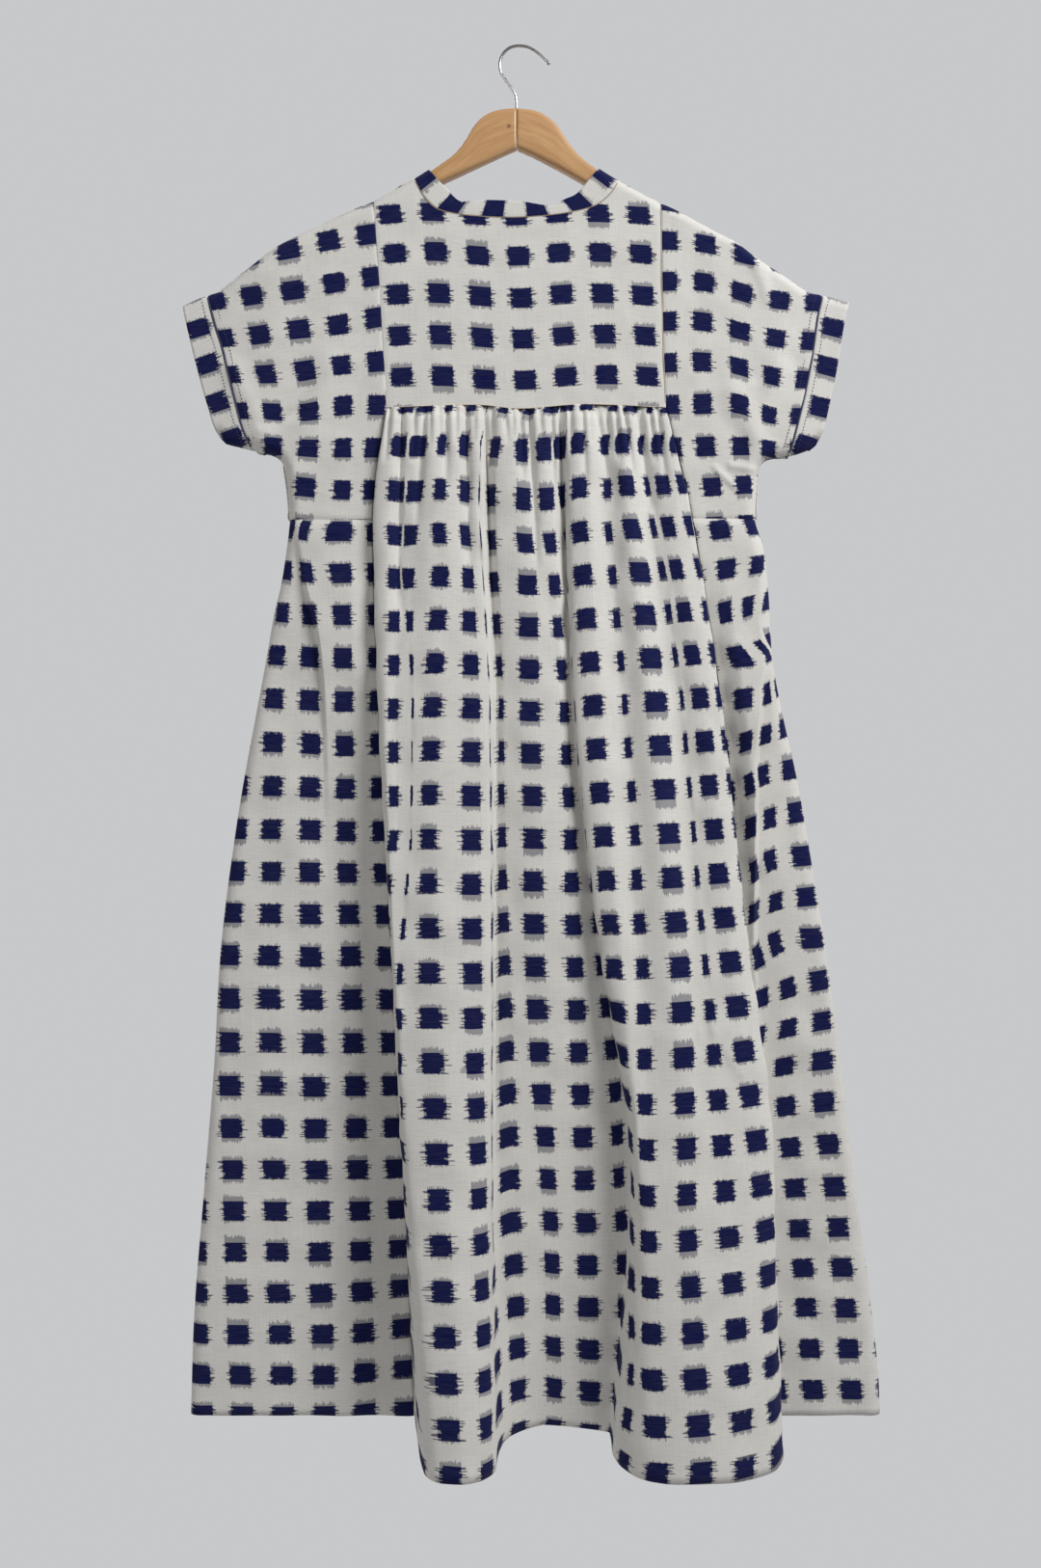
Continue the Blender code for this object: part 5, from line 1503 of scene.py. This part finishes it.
# %% Arms
# across, top and foot
LEFT_ARM = ((-2.65, -57.6, -94.5), (-12, -58, -98.5), (-20.5, -59.5, -102.5), (-29, -62.5, -106.5),
            (-37, -68.5, -110.2), (-42.5, -75, -112.7), (-48, -84.6, -115.2), (-54.5, -94, -118.2),
            (-62, -101.8, -121.5), (-70, -107.8, -125.2), (-80, -114.7, -130), (-95, -123.7, -138),
            (-120, -137.4, -151.5), (-142, -148.7, -162), (-170, -161.2, -174.5), (-195, -172.6, -185.5),
            (-212, -181.8, -193.5), (-217, -186.5, -192.5))
RIGHT_ARM = ((-2.35, -57.6, -94.5), (9.5, -58.7, -99.5), (19, -61.3, -104.2), (26, -65.5, -108),
             (33, -71, -111.5), (39.5, -80, -115), (46, -90, -118.5), (53, -99, -122.5),
             (61, -106.5, -127), (72, -114.5, -133), (91, -126, -143), (120, -142, -157.5),
             (145, -154.6, -170), (170, -167.6, -182), (195, -180.8, -194), (212, -192.4, -204),
             (217, -197.5, -203.5))
WOOD = 15.0
THIN_TIP = 0.45
TIP = 9
SQUARENESS = 0.42


def tube_bmesh(places):
    """A closed tube from a grid of places (sections, round), with a UV map of millimetres along and round."""
    bm = bmesh.new()
    columns, rows = places.shape[0] - 1, places.shape[1] - 1
    bmesh.ops.create_grid(bm, x_segments=columns, y_segments=rows, size=0.5)
    grain = bm.loops.layers.uv.new("grain")
    first = places[0].mean(axis=0)
    for vert in bm.verts:
        i, j = round((vert.co.x + 0.5) * columns), round((vert.co.y + 0.5) * rows)
        middle = places[i].mean(axis=0)
        for loop in vert.link_loops:
            loop[grain].uv = (np.linalg.norm(middle - first), j / rows * 100)
        vert.co = places[i, j] * MM
    bmesh.ops.remove_doubles(bm, verts=bm.verts, dist=0.000005)
    close_up(bm)
    return bm


def arm_places(table):
    table = np.array(table, float)
    order = np.abs(table[:, 0] - table[0, 0])
    at = np.concatenate((np.linspace(0, order[-1], 90)[:-1], order[-1] - np.array((0.6, 0.2, 0.0))))
    top, foot = through(order, table[:, 1], at), through(order, table[:, 2], at)
    turn = np.linspace(0, 2 * math.pi, 49)
    round_y, round_z = (np.sign(way) * np.abs(way) ** SQUARENESS for way in (np.sin(turn), np.cos(turn)))
    thick = WOOD / 2 * (1 - THIN_TIP * ease(order[-1] - TIP, order[-1], at))
    places = np.zeros((len(at), len(turn), 3))
    places[:, :, 0] = (table[0, 0] + np.sign(table[-1, 0]) * at)[:, None]
    places[:, :, 1] = thick[:, None] * round_y
    places[:, :, 2] = ((top + foot) / 2)[:, None] + ((top - foot) / 2)[:, None] * round_z
    return places


print("arms reach from", LEFT_ARM[-1][0], "to", RIGHT_ARM[-1][0])

# %% [markdown]
# ## Wood
#
# The hanger is a pale brown hardwood under a clear varnish. Its grain runs along each arm with fine dark
# pores, so the pattern is read from the arm's own UV map of lengths and is stretched along it. A small knot
# sits beside the hook on the left arm.

# %% Varnished wood
BROWN_WOOD = (0.50, 0.245, 0.095)
PALE_WOOD = (0.72, 0.44, 0.21)
PORE = (0.26, 0.11, 0.04)
KNOT = (0.20, 0.075, 0.025)
KNOT_AT = (-0.0095, -0.0075, -0.0755)


def varnished_wood(name, shift):
    finish, tree, shader = new_finish(name)
    length, around = map_parts(tree, "grain")
    broad = drift(tree, stretched(tree, length, around, shift, 0.012, 0.16), 1.0, 3.0, 0.6)
    streak = drift(tree, stretched(tree, length, around, shift + 3.0, 0.03, 0.9), 1.0, 4.0, 0.65)
    pores = drift(tree, stretched(tree, length, around, shift + 5.0, 0.16, 3.2), 1.0, 2.0, 0.7)
    broad_share = maths(tree, "MULTIPLY", broad, 0.5)
    tone = maths(tree, "ADD", broad_share, maths(tree, "MULTIPLY", streak, 0.6), clamp=True)
    tone = maths(tree, "MULTIPLY_ADD", tone, 2.6, -0.9, clamp=True)
    colour = blend(tree, tone, BROWN_WOOD, PALE_WOOD)
    dark = maths(tree, "MULTIPLY_ADD", pores, 7.0, -4.4, clamp=True)
    colour = blend(tree, maths(tree, "MULTIPLY", dark, 0.5), colour, PORE)
    place = tree.nodes.new("ShaderNodeTexCoord")
    knot_way = tree.nodes.new("ShaderNodeVectorMath")
    knot_way.operation = "DISTANCE"
    tree.links.new(place.outputs["Object"], knot_way.inputs[0])
    knot_way.inputs[1].default_value = KNOT_AT
    knot = maths(tree, "MULTIPLY_ADD", knot_way.outputs["Value"], -600.0, 1.6, clamp=True)
    colour = blend(tree, maths(tree, "MULTIPLY", knot, 0.75), colour, KNOT)
    tree.links.new(colour, shader.inputs["Base Color"])
    shader.inputs["Roughness"].default_value = 0.42
    shader.inputs["Coat Weight"].default_value = 0.25
    shader.inputs["Coat Roughness"].default_value = 0.25
    add_bump(tree, shader, maths(tree, "SUBTRACT", streak, dark), strength=0.25, deep=0.0003)
    return finish


def make_arms():
    for side, table, shift in (("left", LEFT_ARM, 0.0), ("right", RIGHT_ARM, 40.0)):
        wood = varnished_wood(f"varnished_wood_{side}", shift)
        arm = add_rigid(f"arm_{side}", tube_bmesh(arm_places(table)), wood)
        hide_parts(f"hanger_arm_{side}")
    print("two arms,", WOOD, "mm thick")


make_arms()

# %% [markdown]
# ## Hook
#
# The hook is a 3 mm plated wire bent by hand, so its bow isn't quite round, and its end is dressed to a
# small ball. The tube is made as the arms are: sections set square to the wire's line. A curve with a round
# bevel would do too, but the grid keeps the sections where the bends need them.

# %% Wire hook
HOOK = ((26.6, -14.1), (22, -9.6), (17.2, -5.2), (12, -1.6), (6.5, 0.8), (0, 1.5), (-6.8, 0.5), (-12.4, -2.9),
        (-16.4, -8.4), (-18.1, -15), (-17.7, -21), (-14.9, -27), (-9.8, -34), (-5.6, -40), (-3.2, -45.5),
        (-2.5, -51), (-2.5, -70), (-2.5, -84))
WIRE = 3.0
BALL = 2.1
BALL_AT = (26.9, -14.4)
STEEL = (0.60, 0.60, 0.59)
DULL_STEEL = (0.50, 0.50, 0.49)
BRIGHT_STEEL = (0.68, 0.67, 0.65)


def wire_places():
    line = along(HOOK, shares(140))
    for _ in range(6):
        line[1:-1] = (line[:-2] + 2 * line[1:-1] + line[2:]) / 4
    run = headings(line)
    side = np.stack((-run[:, 1], run[:, 0]), axis=1)
    turn = np.linspace(0, 2 * math.pi, 21)
    places = np.zeros((len(line), len(turn), 3))
    places[:, :, 0] = line[:, :1] + side[:, :1] * np.cos(turn) * WIRE / 2
    places[:, :, 1] = np.sin(turn) * WIRE / 2
    places[:, :, 2] = line[:, 1:] + side[:, 1:] * np.cos(turn) * WIRE / 2
    return places


def plated_steel():
    finish, tree, shader = plain_finish("plated_steel", STEEL, 0.26)
    shader.inputs["Metallic"].default_value = 1.0
    place = tree.nodes.new("ShaderNodeTexCoord")
    patchy = drift(tree, place.outputs["Object"], 160.0, 3.0, 0.6)
    tree.links.new(maths(tree, "MULTIPLY_ADD", patchy, 0.25, 0.15), shader.inputs["Roughness"])
    tree.links.new(blend(tree, patchy, DULL_STEEL, BRIGHT_STEEL), shader.inputs["Base Color"])
    return finish


def make_hook():
    steel = plated_steel()
    hook = add_rigid("wire_hook", tube_bmesh(wire_places()), steel)
    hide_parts("hanger_hook")
    bm = bmesh.new()
    bmesh.ops.create_uvsphere(bm, u_segments=24, v_segments=16, radius=BALL * MM)
    bmesh.ops.translate(bm, verts=bm.verts, vec=(BALL_AT[0] * MM, 0, BALL_AT[1] * MM))
    add_rigid("hook_ball", bm, steel)
    print("hook of", WIRE, "mm wire")


make_hook()
